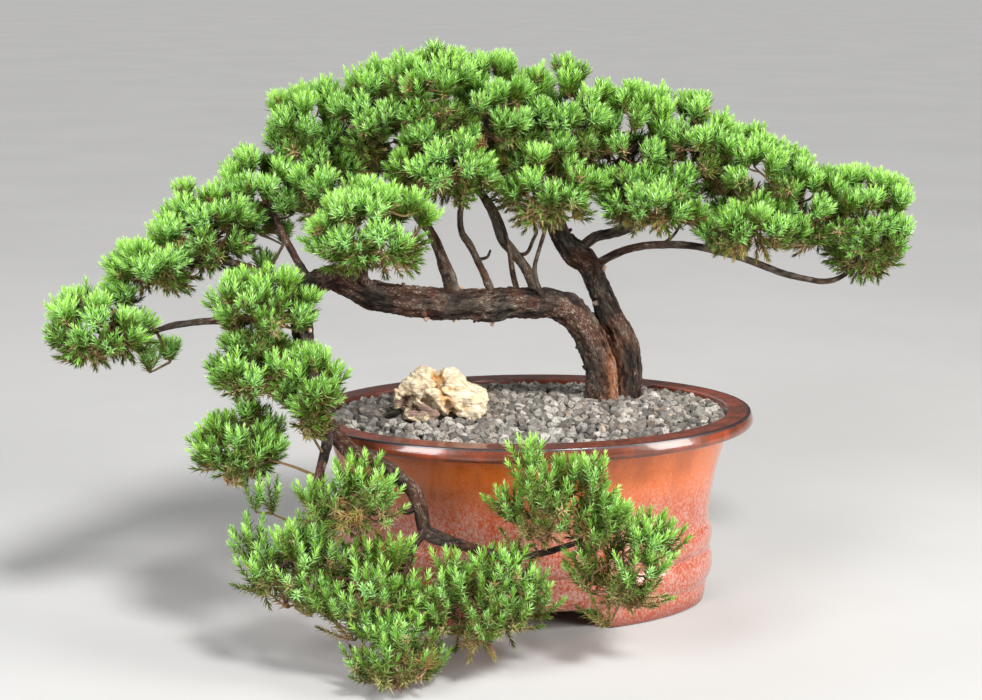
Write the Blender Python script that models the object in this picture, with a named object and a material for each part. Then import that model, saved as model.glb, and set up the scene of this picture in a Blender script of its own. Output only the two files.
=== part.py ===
"""A windswept juniper bonsai in an oval glazed pot, with its drainage, soil, gravel and stone.

Frame: metres, +Z up, +X along the pot's long side, +Y to the back. The origin lies on the surface
that the pot stands on, under the middle of the whole plant, so the pot stands a little off it.
Every piece is a closed solid of its own, and pieces that touch keep CLEARANCE between them.
"""

import math

import bmesh
import bpy
from mathutils import Matrix, Vector

# The pot
POT_LENGTH = 0.305
POT_WIDTH = 0.208
POT_HEIGHT = 0.132
POT_CENTRE = Vector((0.026, 0.043, 0.0))
LIP_WIDTH = 0.017
LIP_HEIGHT = 0.010
LIP_ROUND = 0.0012
WALL = 0.009
FLOOR = 0.008
BODY_INSET = 0.0277  # from the lip's edge in to the straight part of the wall
FLARE = 0.0128  # how far the wall leans out again under the lip
FLARE_FROM = 0.054
UNDERSIDE_HEIGHT = 0.0165
FOOT_WIDTH = 0.011
FOOT_GAP_HEIGHT = 0.015
FOOT_GAP_LONG = 0.090  # the opening between the feet on the long sides, at the bottom
FOOT_GAP_SHORT = 0.056  # and on the short sides
FOOT_GAP_SLOPE = 0.010
FOOT_CHAMFER = 0.0015
INNER_CORNER = 0.006
BANDS = ((0.014, 0.036, 0.0030), (0.036, 0.054, 0.0024))  # bottom, top and swell of each band
BAND_FULLNESS = 0.7  # below 1, a band is fuller than a sine wave
OVAL_SIDES = 48

# Drainage
DRAIN_SPACING = 0.110
DRAIN_RADIUS = 0.009
SCREEN_RADIUS = 0.017
SCREEN_THICKNESS = 0.0012
CLIP_WIRE_RADIUS = 0.0008
CLIP_SPAN = 0.012  # between the clip's two legs
CLIP_SIDES = 8

# Soil, gravel and stone
SOIL_BELOW_RIM = 0.028
SLACK = 0.0004  # soil and gravel are this much slimmer than the pot's straight inner facets
GRAVEL_EDGE = 0.0020  # how far the gravel stays below the rim at the wall
GRAVEL_CROWN = 0.0085  # how much higher it is heaped in the middle
STONE_CENTRE = Vector((-0.0615, -0.019))
STONE_SIZE = Vector((0.068, 0.040, 0.033))
STONE_SINK = 0.004
STONE_LEDGE = 0.06  # how deep the layers and knobs are, as a share of the stone's size
STONE_KNOB = 0.07
STONE_SLOPE = 0.35  # how much smaller its right top is

# The tree
CLEARANCE = 0.0003
DRAWN_POT = (305.0, 208.0, 132.0)  # the pot in the routes below, which are drawn in millimetres
HANG_TOP = 215.0  # limbs lower than this move out with the pot's sides,
HANG_BOTTOM = 150.0  # and the whole way from here down
TRUNK_SIDES = 10
BRANCH_SIDES = 6
ROOT_DEPTH = 0.030
ROOT_TAPER = 0.8
ROOTED_POINTS = 16  # a trunk's first points stand in the pot, and the rest may hang past its rim
CURVE_STEP = 0.014
MERGE_DISTANCE = 0.00001
SHARP_ANGLE = 40

# Centre lines from the pot's middle, on the surface that it stands on: x, y, z and radius.
LEFT_TRUNK = (
    (53, 15, 126, 13.5), (53, 15, 136, 11.5), (50, 12, 154, 10.5), (43, 8, 173, 10.3),
    (33, 4, 191, 10.3), (17, 0, 203, 10.3), (-8, -8, 207, 10.2), (-36, -16, 208, 10.0),
    (-63, -25, 210, 10.0), (-86, -33, 214, 9.8), (-106, -40, 219, 9.5), (-121, -46, 227, 8.8),
    (-132, -51, 233, 8.0), (-142, -57, 232, 7.6), (-150, -62, 227, 7.4), (-153, -64, 216, 7.0),
    (-152, -66, 198, 6.2), (-150, -67, 180, 5.7), (-146, -68, 162, 5.5), (-140, -68, 147, 5.3),
    (-134, -71, 137, 5.0),
)
RIGHT_TRUNK = (
    (68, 20, 126, 12.0), (69, 21, 140, 10.6), (70, 21, 155, 10.0), (67, 22, 173, 9.4),
    (59, 23, 189, 8.5), (52, 24, 206, 7.8), (43, 25, 225, 7.5), (34, 25, 233, 8.4),
    (25, 25, 243, 6.8), (20, 25, 257, 6.0), (21, 23, 274, 5.4), (26, 20, 294, 4.4),
    (26, 14, 312, 3.4), (20, 6, 326, 2.4),
)
BRANCHES = {
    "low_right_branch": (
        (43, 25, 222, 3.0), (59, 24, 232, 2.8), (75, 21, 238, 2.7), (92, 17, 240, 2.7),
        (116, 13, 239, 2.6), (144, 8, 232, 2.5), (178, 4, 220, 2.2), (205, 2, 216, 1.9),
        (222, 3, 226, 1.5), (228, 4, 244, 1.2),
    ),
    "high_right_branch": (
        (34, 25, 234, 3.6), (48, 28, 244, 3.3), (65, 31, 247, 3.1), (77, 33, 251, 3.0),
        (89, 34, 255, 3.0), (103, 34, 256, 2.8), (121, 30, 252, 2.5), (145, 22, 252, 2.1),
        (163, 12, 260, 1.8), (183, 4, 270, 1.4),
    ),
    "crown_right_branch": (
        (21, 24, 262, 3.0), (36, 22, 276, 2.8), (53, 16, 290, 2.5), (68, 11, 305, 2.1),
        (84, 7, 314, 1.7), (102, 3, 316, 1.3),
    ),
    "back_crown_branch": (
        (21, 23, 270, 2.6), (18, 36, 284, 2.4), (12, 48, 300, 2.0), (6, 54, 314, 1.5),
    ),
    "first_stem": (
        (-52, -20, 208, 5.4), (-58, -18, 230, 4.2), (-63, -15, 244, 3.5), (-68, -12, 255, 3.2),
        (-76, -8, 265, 2.9), (-85, -3, 281, 2.6), (-98, 2, 300, 2.3), (-118, 4, 316, 1.9),
        (-143, 5, 322, 1.4),
    ),
    "second_stem": (
        (-26, -13, 208, 2.9), (-32, -11, 225, 2.5), (-38, -9, 238, 2.3), (-42, -8, 246, 2.1),
        (-47, -6, 254, 1.9), (-48, -4, 266, 1.8), (-46, -2, 281, 1.7), (-54, -14, 300, 1.5),
        (-66, -22, 330, 1.2),
    ),
    "third_stem": (
        (-8, -7, 208, 2.2), (-13, -8, 225, 1.9), (-16, -10, 241, 1.6), (-20, -11, 257, 1.5),
        (-24, -12, 267, 1.3),
    ),
    "fourth_stem": (
        (7, -1, 206, 4.0), (-3, 2, 227, 3.5), (-12, 4, 239, 3.3), (-19, 5, 248, 3.3),
        (-24, 6, 264, 3.2), (-31, 8, 275, 2.9), (-37, 10, 286, 2.6), (-35, 12, 304, 2.2),
        (-28, 4, 330, 1.5),
    ),
    "fifth_stem": (
        (9, -10, 206, 2.0), (2, -14, 221, 1.6), (0, -16, 232, 1.5), (3, -18, 245, 1.4),
        (6, -20, 257, 1.3), (7, -24, 270, 1.2), (6, -28, 284, 1.0),
    ),
    "back_left_branch": (
        (-33, 9, 279, 2.5), (-46, 22, 290, 2.3), (-62, 36, 303, 1.9), (-80, 48, 318, 1.4),
    ),
    "left_branch": (
        (-144, -58, 230, 3.2), (-160, -52, 232, 2.8), (-177, -47, 237, 2.6), (-200, -44, 243, 2.3),
        (-221, -49, 243, 2.0), (-243, -52, 243, 1.6),
    ),
    "left_low_branch": (
        (-152, -65, 214, 2.6), (-176, -60, 209, 2.4), (-204, -56, 208, 2.2), (-231, -58, 206, 1.9),
        (-258, -60, 199, 1.6), (-280, -62, 204, 1.2),
    ),
    "left_crown_branch": (
        (-147, -56, 231, 2.8), (-157, -38, 246, 2.4), (-168, -20, 266, 2.0), (-178, -7, 284, 1.5),
    ),
    "front_branch": (
        (-110, -43, 222, 3.4), (-114, -56, 234, 3.0), (-113, -67, 246, 2.6), (-110, -77, 257, 2.1),
        (-107, -85, 270, 1.5),
    ),
    "cascade_branch": (
        (-137, -70, 142, 5.0), (-125, -84, 130, 4.9), (-107, -100, 125, 4.8), (-96, -111, 118, 4.7),
        (-88, -117, 112, 4.5), (-84, -122, 102, 4.4), (-81, -127, 89, 4.3), (-70, -132, 85, 3.6),
        (-58, -135, 82, 3.2), (-37, -138, 76, 2.7), (-13, -140, 77, 2.2), (12, -140, 84, 1.6),
    ),
    "cascade_drop": (
        (-137, -73, 139, 3.6), (-141, -92, 129, 3.2), (-144, -101, 121, 2.9), (-146, -107, 113, 2.7),
        (-149, -114, 102, 2.3), (-155, -121, 87, 1.8), (-160, -126, 76, 1.3),
    ),
    "cascade_fork": (
        (-81, -128, 90, 3.2), (-89, -131, 82, 2.9), (-93, -135, 72, 2.5), (-99, -142, 58, 2.0),
        (-101, -152, 42, 1.6), (-102, -162, 28, 1.2),
    ),
}

# Foliage pads: centre, and half sizes along X, Y and Z.
PADS = {
    "foliage_left_tip": ((-278, -62, 207), (37, 34, 27)),
    "foliage_left_outer": ((-246, -52, 245), (31, 32, 23)),
    "foliage_left_middle": ((-212, -32, 262), (34, 36, 32)),
    "foliage_left_crown": ((-178, -6, 286), (28, 34, 31)),
    "foliage_left_shoulder": ((-147, 4, 325), (28, 36, 32)),
    "foliage_middle_shoulder": ((-111, -10, 333), (28, 36, 33)),
    "foliage_low_shoulder": ((-130, -22, 284), (33, 32, 26)),
    "foliage_front": ((-111, -84, 269), (40, 32, 34)),
    "foliage_apex_left": ((-68, -22, 348), (33, 36, 35)),
    "foliage_apex_low": ((-64, -40, 300), (39, 34, 27)),
    "foliage_apex_middle": ((-25, -10, 338), (31, 38, 37)),
    "foliage_apex_right": ((20, 0, 332), (33, 38, 36)),
    "foliage_heart": ((4, -30, 287), (40, 33, 28)),
    "foliage_back_left": ((-84, 50, 320), (48, 38, 42)),
    "foliage_back_right": ((12, 52, 314), (54, 40, 42)),
    "foliage_right_inner": ((66, 8, 312), (33, 40, 39)),
    "foliage_right_middle": ((106, 6, 310), (33, 42, 37)),
    "foliage_right_low": ((75, -20, 275), (37, 30, 24)),
    "foliage_right_outer": ((147, 0, 292), (34, 38, 35)),
    "foliage_right_under": ((137, -28, 260), (36, 28, 22)),
    "foliage_right_arm": ((188, 2, 270), (33, 34, 33)),
    "foliage_right_tip": ((229, 4, 258), (36, 32, 42)),
    "foliage_cascade_top": ((-177, -88, 226), (36, 30, 26)),
    "foliage_cascade_middle": ((-184, -90, 188), (32, 30, 24)),
    "foliage_cascade_inner": ((-147, -108, 178), (20, 26, 30)),
    "foliage_cascade_low": ((-193, -98, 142), (30, 30, 28)),
    "foliage_drop_upper": ((-126, -130, 114), (32, 24, 21)),
    "foliage_drop_lower": ((-163, -126, 71), (36, 30, 25)),
    "foliage_skirt_left": ((-120, -142, 60), (34, 28, 27)),
    "foliage_skirt_tip": ((-103, -165, 26), (31, 25, 24)),
    "foliage_skirt_middle": ((-48, -146, 52), (42, 27, 26)),
    "foliage_spray_top": ((-4, -140, 111), (40, 25, 27)),
    "foliage_spray_right": ((37, -142, 74), (33, 27, 34)),
}
PAD_SEGMENTS = 12
PAD_RINGS = 7

GLAZE = ("glaze", (0.42, 0.085, 0.040), 0.18)
BARK = ("bark", (0.115, 0.072, 0.050), 0.85)
NEEDLES = ("needles", (0.090, 0.260, 0.050), 0.60)
PLASTIC_MESH = ("plastic_mesh", (0.020, 0.022, 0.020), 0.55)
WIRE = ("aluminium_wire", (0.560, 0.560, 0.550), 0.35)
SOIL = ("soil", (0.060, 0.042, 0.030), 0.95)
GRAVEL = ("gravel", (0.210, 0.205, 0.195), 0.90)
ROCK = ("rock", (0.640, 0.540, 0.380), 0.85)
METALS = ("aluminium_wire",)


def clear_scene():
    for thing in list(bpy.data.objects):
        bpy.data.objects.remove(thing, do_unlink=True)


def new_collection(name, hidden=False):
    collection = bpy.data.collections.new(name)
    bpy.context.scene.collection.children.link(collection)
    collection.hide_render = hidden
    return collection


def material(finish):
    name, colour, roughness = finish
    found = bpy.data.materials.get(name)
    if found:
        return found
    made = bpy.data.materials.new(name)
    made.use_nodes = True
    shader = made.node_tree.nodes["Principled BSDF"]
    shader.inputs["Base Color"].default_value = (*colour, 1.0)
    shader.inputs["Roughness"].default_value = roughness
    shader.inputs["Metallic"].default_value = 1.0 if name in METALS else 0.0
    return made


def object_from(bm, name, collection, finish=None, smooth=True):
    """Turn a bmesh into an object, with its faces pointing out."""
    bmesh.ops.recalc_face_normals(bm, faces=bm.faces[:])
    mesh = bpy.data.meshes.new(name)
    bm.to_mesh(mesh)
    bm.free()
    if smooth:
        mesh.shade_smooth()
        mesh.set_sharp_from_angle(angle=math.radians(SHARP_ANGLE))
    made = bpy.data.objects.new(name, mesh)
    collection.objects.link(made)
    if finish:
        mesh.materials.append(material(finish))
    return made


def drop_object(thing):
    mesh = thing.data
    bpy.data.objects.remove(thing, do_unlink=True)
    bpy.data.meshes.remove(mesh)


def boolean(target, cutters, operation):
    """Apply a Boolean with each cutter in turn, and remove the cutters."""
    for cutter in cutters:
        step = target.modifiers.new(operation.lower(), "BOOLEAN")
        step.operation = operation
        step.solver = "EXACT"
        step.object = cutter
        depsgraph = bpy.context.evaluated_depsgraph_get()
        result = bpy.data.meshes.new_from_object(target.evaluated_get(depsgraph))
        target.modifiers.remove(step)
        before = target.data
        target.data = result
        bpy.data.meshes.remove(before)
        drop_object(cutter)


# ---------------------------------------------------------------- the pot and what is in it


def wall_inset(height):
    """How far the pot's outer wall is inside the lip's edge at a height."""
    lean = max(0.0, height - FLARE_FROM) / (POT_HEIGHT - LIP_HEIGHT - FLARE_FROM)
    inset = BODY_INSET - FLARE * lean**2
    for bottom, top, swell in BANDS:
        if bottom < height < top:
            inset -= swell * math.sin(math.pi * (height - bottom) / (top - bottom)) ** BAND_FULLNESS
    return inset


def inner_inset(height):
    return wall_inset(max(height, FLARE_FROM)) + WALL


def mouth_inset(height):
    """How far the slanted inner face under the lip is inside the lip's edge at a height."""
    neck = POT_HEIGHT - LIP_HEIGHT
    share = min(1.0, max(0.0, (height - neck) / (LIP_HEIGHT - LIP_ROUND)))
    return inner_inset(neck) + share * (LIP_WIDTH - inner_inset(neck))


def oval_body(name, levels, finish, collection, grow=0.0):
    """A closed body through oval rings, each given as inset from the lip's edge and height."""
    sizes = [Vector((POT_LENGTH / 2 - inset + grow, POT_WIDTH / 2 - inset + grow, 1.0))
             for inset, _ in levels]
    bm = bmesh.new()
    verts = bmesh.ops.create_circle(bm, cap_ends=True, segments=OVAL_SIDES, radius=1.0)["verts"]
    bmesh.ops.scale(bm, vec=sizes[0], verts=verts)
    bmesh.ops.translate(bm, vec=(0, 0, levels[0][1]), verts=verts)
    edges = bm.edges[:]
    for before, after, lower, upper in zip(sizes, sizes[1:], levels, levels[1:]):
        grown = bmesh.ops.extrude_edge_only(bm, edges=edges)["geom"]
        verts = [item for item in grown if isinstance(item, bmesh.types.BMVert)]
        edges = [item for item in grown if isinstance(item, bmesh.types.BMEdge)
                 and all(vert in verts for vert in item.verts)]
        bmesh.ops.scale(bm, vec=(after.x / before.x, after.y / before.y, 1.0), verts=verts)
        bmesh.ops.translate(bm, vec=(0, 0, upper[1] - lower[1]), verts=verts)
    bmesh.ops.contextual_create(bm, geom=edges)
    bmesh.ops.translate(bm, vec=POT_CENTRE, verts=bm.verts[:])
    return object_from(bm, name, collection, finish)


def pot_levels():
    """From the middle of the underside, out over the foot and wall to the lip, and down inside."""
    neck = POT_HEIGHT - LIP_HEIGHT
    floor_top = UNDERSIDE_HEIGHT + FLOOR
    foot_inset = wall_inset(0.0)
    levels = [
        (foot_inset + FOOT_WIDTH, UNDERSIDE_HEIGHT),
        (foot_inset + FOOT_WIDTH, 0.0),
        (foot_inset + FOOT_CHAMFER, 0.0),
        (foot_inset, FOOT_CHAMFER),
    ]
    for bottom, top, _ in BANDS:
        levels += [(wall_inset(bottom + share * (top - bottom)), bottom + share * (top - bottom))
                   for share in (0.0, 0.15, 0.5, 0.85)]
    levels += [(wall_inset(FLARE_FROM + share * (neck - FLARE_FROM)),
                FLARE_FROM + share * (neck - FLARE_FROM)) for share in (0.0, 0.3, 0.55, 0.8, 1.0)]
    levels += [
        (LIP_ROUND, neck),
        (0.0, neck + LIP_ROUND),
        (0.0, POT_HEIGHT - LIP_ROUND),
        (LIP_ROUND, POT_HEIGHT),
        (LIP_WIDTH - LIP_ROUND, POT_HEIGHT),
        (LIP_WIDTH, POT_HEIGHT - LIP_ROUND),
    ]
    levels += [(inner_inset(neck - share * (neck - FLARE_FROM)), neck - share * (neck - FLARE_FROM))
               for share in (0.0, 0.3, 0.6, 1.0)]
    levels += [
        (inner_inset(0.0), floor_top + INNER_CORNER),
        (inner_inset(0.0) + INNER_CORNER, floor_top),
    ]
    return levels


def foot_gap(name, gap, along, collection):
    """A wedge-sided bar right through the foot ring, wider at the bottom."""
    bm = bmesh.new()
    verts = bmesh.ops.create_cube(bm, size=1.0)["verts"]
    reach = 1.5 * max(POT_LENGTH, POT_WIDTH)
    bmesh.ops.scale(bm, vec=(gap, reach, 2 * FOOT_GAP_HEIGHT), verts=verts)
    for vert in verts:
        if vert.co.z > 0:
            vert.co.x *= (gap - 2 * FOOT_GAP_SLOPE) / gap
        else:
            vert.co.x *= (gap + 2 * FOOT_GAP_SLOPE) / gap
    turn = Matrix.Rotation(0.0 if along == "Y" else math.pi / 2, 4, "Z")
    bmesh.ops.transform(bm, matrix=Matrix.Translation(POT_CENTRE) @ turn, verts=verts)
    return object_from(bm, name, collection, smooth=False)


def upright_cylinder(name, centre, radius, bottom, top, collection, finish=None, segments=32):
    bm = bmesh.new()
    bmesh.ops.create_cone(bm, cap_ends=True, segments=segments, radius1=radius, radius2=radius,
                          depth=top - bottom,
                          matrix=Matrix.Translation((centre.x, centre.y, (top + bottom) / 2)))
    return object_from(bm, name, collection, finish)


def drain_centres():
    """Where the two drain holes are, on the pot's long middle line."""
    return {side: POT_CENTRE + Vector((sign * DRAIN_SPACING / 2, 0, 0))
            for side, sign in (("left", -1), ("right", 1))}


def make_pot(parts, cutters):
    """The bowl, with the gaps between its feet and its drain holes cut out."""
    pot = oval_body("pot", pot_levels(), GLAZE, parts)
    gaps = [foot_gap("long_gap", FOOT_GAP_LONG, "Y", cutters),
            foot_gap("short_gap", FOOT_GAP_SHORT, "X", cutters)]
    drains = [upright_cylinder(f"drain_{side}", centre, DRAIN_RADIUS, 0.0,
                               UNDERSIDE_HEIGHT + 2 * FLOOR, cutters)
              for side, centre in drain_centres().items()]
    boolean(pot, gaps + drains, "DIFFERENCE")


def make_drainage(parts, cutters):
    """A mesh disc over each drain hole, held by a bent wire whose legs pass down the hole."""
    floor_top = UNDERSIDE_HEIGHT + FLOOR
    for side, centre in drain_centres().items():
        bottom = floor_top + CLEARANCE
        top = bottom + SCREEN_THICKNESS
        screen = upright_cylinder(f"drain_screen_{side}", centre, SCREEN_RADIUS, bottom, top,
                                  parts, PLASTIC_MESH)
        half = CLIP_SPAN / 2
        bridge = top + CLEARANCE + CLIP_WIRE_RADIUS
        route = [(-half, 0, UNDERSIDE_HEIGHT), (-half, 0, bridge), (half, 0, bridge),
                 (half, 0, UNDERSIDE_HEIGHT)]
        points = [(centre.x + x, centre.y + y, z, CLIP_WIRE_RADIUS) for x, y, z in route]
        tube(f"screen_clip_{side}", points, parts, WIRE, CLIP_SIDES)
        holes = [upright_cylinder("leg_hole", Vector((centre.x + sign * half, centre.y, 0)),
                                  CLIP_WIRE_RADIUS + CLEARANCE, floor_top - FLOOR, top + FLOOR,
                                  cutters, segments=CLIP_SIDES) for sign in (-1, 1)]
        boolean(screen, holes, "DIFFERENCE")


def soil_top():
    """The height of the soil's flat top."""
    return POT_HEIGHT - SOIL_BELOW_RIM


def gravel_height(x, y):
    """The heaped gravel's surface at a place measured from the pot's middle."""
    edge = mouth_inset(POT_HEIGHT - GRAVEL_EDGE)
    out = (x / (POT_LENGTH / 2 - edge)) ** 2 + (y / (POT_WIDTH / 2 - edge)) ** 2
    return POT_HEIGHT - GRAVEL_EDGE + GRAVEL_CROWN * max(0.0, 1.0 - out)


def make_soil(parts):
    """The soil fills the pot from just above the clips to the gravel."""
    bottom = UNDERSIDE_HEIGHT + FLOOR + SCREEN_THICKNESS + 2 * CLIP_WIRE_RADIUS + 3 * CLEARANCE
    levels = [(inner_inset(0.0) + INNER_CORNER + SLACK, bottom),
              (inner_inset(0.0) + SLACK, bottom + INNER_CORNER),
              (inner_inset(FLARE_FROM) + SLACK, FLARE_FROM)]
    for height in ((FLARE_FROM + soil_top()) / 2, soil_top()):
        levels.append((inner_inset(height) + SLACK, height))
    return oval_body("soil", levels, SOIL, parts, grow=-2 * CLEARANCE)


def make_gravel(parts):
    """The top dressing, from the soil up to a gently heaped surface."""
    bottom = soil_top() + CLEARANCE
    neck = POT_HEIGHT - LIP_HEIGHT
    edge_top = POT_HEIGHT - GRAVEL_EDGE
    levels = [(inner_inset(height) + SLACK, height) for height in (bottom, (bottom + neck) / 2, neck)]
    rim_inset = mouth_inset(edge_top) + SLACK
    levels.append((rim_inset, edge_top))
    half = POT_LENGTH / 2 - rim_inset
    for share in (0.8, 0.55, 0.3):
        height = edge_top + GRAVEL_CROWN * (1 - share**2)
        levels.append((rim_inset + half * (1 - share) * POT_WIDTH / POT_LENGTH, height))
    return oval_body("gravel", levels, GRAVEL, parts, grow=-2 * CLEARANCE)


def make_stone(parts, name="accent_stone", grow=0.0, finish=ROCK):
    """A weathered, layered stone: a ball with ledges pressed into its sides, sunk in the gravel."""
    bm = bmesh.new()
    bmesh.ops.create_uvsphere(bm, u_segments=16, v_segments=10, radius=0.5)
    for vert in bm.verts:
        spot = vert.co.copy()
        ledge = STONE_LEDGE * math.sin(14.0 * spot.z + 3.0 * spot.x)
        knob = STONE_KNOB * math.sin(7.0 * spot.x + 1.0) * math.cos(6.0 * spot.y)
        slope = 1.0 - STONE_SLOPE * max(0.0, spot.x) * (spot.z + 0.5)
        vert.co = spot * (1.0 + ledge + knob) * slope
    size = STONE_SIZE + Vector((2 * grow,) * 3)
    bmesh.ops.scale(bm, vec=size, verts=bm.verts[:])
    seat = gravel_height(STONE_CENTRE.x, STONE_CENTRE.y) + STONE_SIZE.z / 2 - STONE_SINK
    place = POT_CENTRE + Vector((STONE_CENTRE.x, STONE_CENTRE.y, seat))
    bmesh.ops.translate(bm, vec=place, verts=bm.verts[:])
    return object_from(bm, name, parts, finish)


# ---------------------------------------------------------------- the tree


def placed(x, y, z, rooted=False):
    """A drawn place on this pot, in the part's frame.

    Below the rim heights stretch with the pot, and what hangs beside the pot keeps its distance.
    """
    length, width, rim = DRAWN_POT
    height = z / rim * POT_HEIGHT if z < rim else POT_HEIGHT + (z - rim) / 1000
    share = 0.0 if rooted else min(1.0, max(0.0, (HANG_TOP - z) / (HANG_TOP - HANG_BOTTOM)))
    share *= share * (3.0 - 2.0 * share)
    left = share * (POT_LENGTH - length / 1000) / 2
    forward = share * (POT_WIDTH - width / 1000) / 2
    return POT_CENTRE + Vector((x / 1000 - left, y / 1000 - forward, height))


def drawn(route, rooted=False):
    """A drawn route in metres in the part's frame, with its radii."""
    return [(*placed(x, y, z, rooted), radius / 1000) for x, y, z, radius in route]


def spread(points):
    """Points along a smooth curve through the given ones, about CURVE_STEP apart."""
    rows = [Vector(point) for point in points]
    rows = [2 * rows[0] - rows[1]] + rows + [2 * rows[-1] - rows[-2]]
    made = []
    for before, start, end, after in zip(rows, rows[1:], rows[2:], rows[3:]):
        count = max(1, round((end - start).to_3d().length / CURVE_STEP))
        for index in range(count):
            t = index / count
            made.append(0.5 * ((2 * start) + (end - before) * t
                               + (2 * before - 5 * start + 4 * end - after) * t**2
                               + (3 * start - before - 3 * end + after) * t**3))
    return made + [rows[-2]]


def lengthened(points, extra):
    """The same points of x, y, z and radius, with both ends moved out along the route."""
    rows = [Vector(point) for point in points]
    for end, inner in ((0, 1), (-1, -2)):
        way = (rows[end] - rows[inner]).to_3d().normalized()
        rows[end] += Vector((*(way * extra), 0.0))
    return rows


def tube(name, points, collection, finish=None, sides=BRANCH_SIDES, grow=0.0):
    """A closed tube through points of x, y, z and radius, made of a bevelled curve.

    A cutter is the same tube grown by a clearance, at its two ends too.
    """
    points = lengthened(points, grow)
    curve = bpy.data.curves.new(name, "CURVE")
    curve.dimensions = "3D"
    curve.bevel_depth = 1.0
    curve.bevel_resolution = (sides - 4) // 2
    curve.use_fill_caps = True
    spline = curve.splines.new("POLY")
    spline.points.add(len(points) - 1)
    for point, (x, y, z, radius) in zip(spline.points, points):
        point.co = (x, y, z, 1.0)
        point.radius = radius + grow
    wire = bpy.data.objects.new(name, curve)
    collection.objects.link(wire)
    depsgraph = bpy.context.evaluated_depsgraph_get()
    mesh = bpy.data.meshes.new_from_object(wire.evaluated_get(depsgraph))
    place = wire.matrix_world.copy()
    bpy.data.objects.remove(wire, do_unlink=True)
    bpy.data.curves.remove(curve)
    bm = bmesh.new()
    bm.from_mesh(mesh)
    bpy.data.meshes.remove(mesh)
    bmesh.ops.transform(bm, matrix=place, verts=bm.verts[:])
    bmesh.ops.remove_doubles(bm, verts=bm.verts[:], dist=MERGE_DISTANCE)
    return object_from(bm, name, collection, finish)


def trunk_routes():
    """Both trunks, each with its root crown down in the soil."""
    routes = []
    for route in (LEFT_TRUNK, RIGHT_TRUNK):
        points = drawn(route, rooted=True)
        foot = points[0]
        root = (foot[0], foot[1], soil_top() - ROOT_DEPTH, ROOT_TAPER * foot[3])
        points = points[:ROOTED_POINTS] + drawn(route)[ROOTED_POINTS:]
        routes.append(spread([root] + points))
    return routes


def make_trunk(name, collection, finish=None, grow=0.0):
    """The twin trunk: two stems grown together at the foot."""
    left, right = (tube(name, route, collection, finish, TRUNK_SIDES, grow)
                   for route in trunk_routes())
    boolean(left, [right], "UNION")
    left.name = name
    return left


def near(first, second):
    """True if two objects' boxes meet."""
    def box(thing):
        corners = [thing.matrix_world @ Vector(corner) for corner in thing.bound_box]
        return [(min(c[i] for c in corners), max(c[i] for c in corners)) for i in range(3)]
    return all(a[0] <= b[1] and b[0] <= a[1] for a, b in zip(box(first), box(second)))


def make_wood(parts, cutters):
    """The trunk, and each branch cut to sit against what it grows from."""
    wood = {"trunk": lambda name, grow: make_trunk(name, cutters, grow=grow)}
    make_trunk("trunk", parts, BARK)
    for name, route in BRANCHES.items():
        points = spread(drawn(route))
        branch = tube(name, points, parts, BARK)
        for maker in wood.values():
            cutter = maker("wood_cutter", CLEARANCE)
            if near(branch, cutter):
                boolean(branch, [cutter], "DIFFERENCE")
            else:
                drop_object(cutter)
        wood[name] = (lambda cut_name, grow, points=points:
                      tube(cut_name, points, cutters, grow=grow))
    return wood


def trim(bm, point, normal):
    """Cut a closed bmesh by a plane, remove what lies beyond it and close the cut."""
    geometry = bm.verts[:] + bm.edges[:] + bm.faces[:]
    cut = bmesh.ops.bisect_plane(bm, geom=geometry, plane_co=point, plane_no=normal,
                                 clear_outer=True, dist=MERGE_DISTANCE / 10)
    edges = [item for item in cut["geom_cut"] if isinstance(item, bmesh.types.BMEdge)]
    if edges:
        bmesh.ops.contextual_create(bm, geom=edges)


def reach(size, direction):
    """How far an ellipsoid of these half sizes reaches in a direction."""
    return math.sqrt(sum((half * part) ** 2 for half, part in zip(size, direction)))


def pad_places():
    """Each pad's middle and half sizes in the part's frame."""
    places = {}
    for name, (centre, size) in PADS.items():
        places[name] = (placed(*centre), Vector(size) / 1000)
    return places


def make_foliage(parts, cutters, wood):
    """Closed pads of foliage, pressed flat where they meet and hollowed round the wood."""
    places = pad_places()
    for name, (middle, half) in places.items():
        bm = bmesh.new()
        bmesh.ops.create_uvsphere(bm, u_segments=PAD_SEGMENTS, v_segments=PAD_RINGS, radius=1.0)
        bmesh.ops.scale(bm, vec=half, verts=bm.verts[:])
        bmesh.ops.translate(bm, vec=middle, verts=bm.verts[:])
        for other, (other_middle, other_half) in places.items():
            apart = other_middle - middle
            if other == name or apart.length > sum(reach(h, apart.normalized())
                                                   for h in (half, other_half)):
                continue
            way = apart.normalized()
            mine, theirs = reach(half, way), reach(other_half, way)
            seam = apart.length * mine / (mine + theirs) - CLEARANCE / 2
            trim(bm, middle + way * seam, way)
        trim(bm, Vector((0, 0, CLEARANCE)), Vector((0, 0, -1)))
        pad = object_from(bm, name, parts, NEEDLES)
        keep_out = [maker("wood_cutter", CLEARANCE) for maker in wood.values()]
        keep_out.append(oval_body("pot_cutter", [(0.0, -0.01), (0.0, POT_HEIGHT)], None, cutters,
                                  grow=CLEARANCE))
        for cutter in keep_out:
            if near(pad, cutter):
                boolean(pad, [cutter], "DIFFERENCE")
            else:
                drop_object(cutter)


def main():
    clear_scene()
    parts = new_collection("bonsai")
    cutters = new_collection("cutters", hidden=True)
    make_pot(parts, cutters)
    make_drainage(parts, cutters)
    soil = make_soil(parts)
    gravel = make_gravel(parts)
    for ground in (soil, gravel):
        boolean(ground, [make_trunk("root_cutter", cutters, grow=CLEARANCE)], "DIFFERENCE")
    boolean(gravel, [make_stone(cutters, "stone_cutter", CLEARANCE, None)], "DIFFERENCE")
    make_stone(parts)
    wood = make_wood(parts, cutters)
    make_foliage(parts, cutters, wood)


main()
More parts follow.
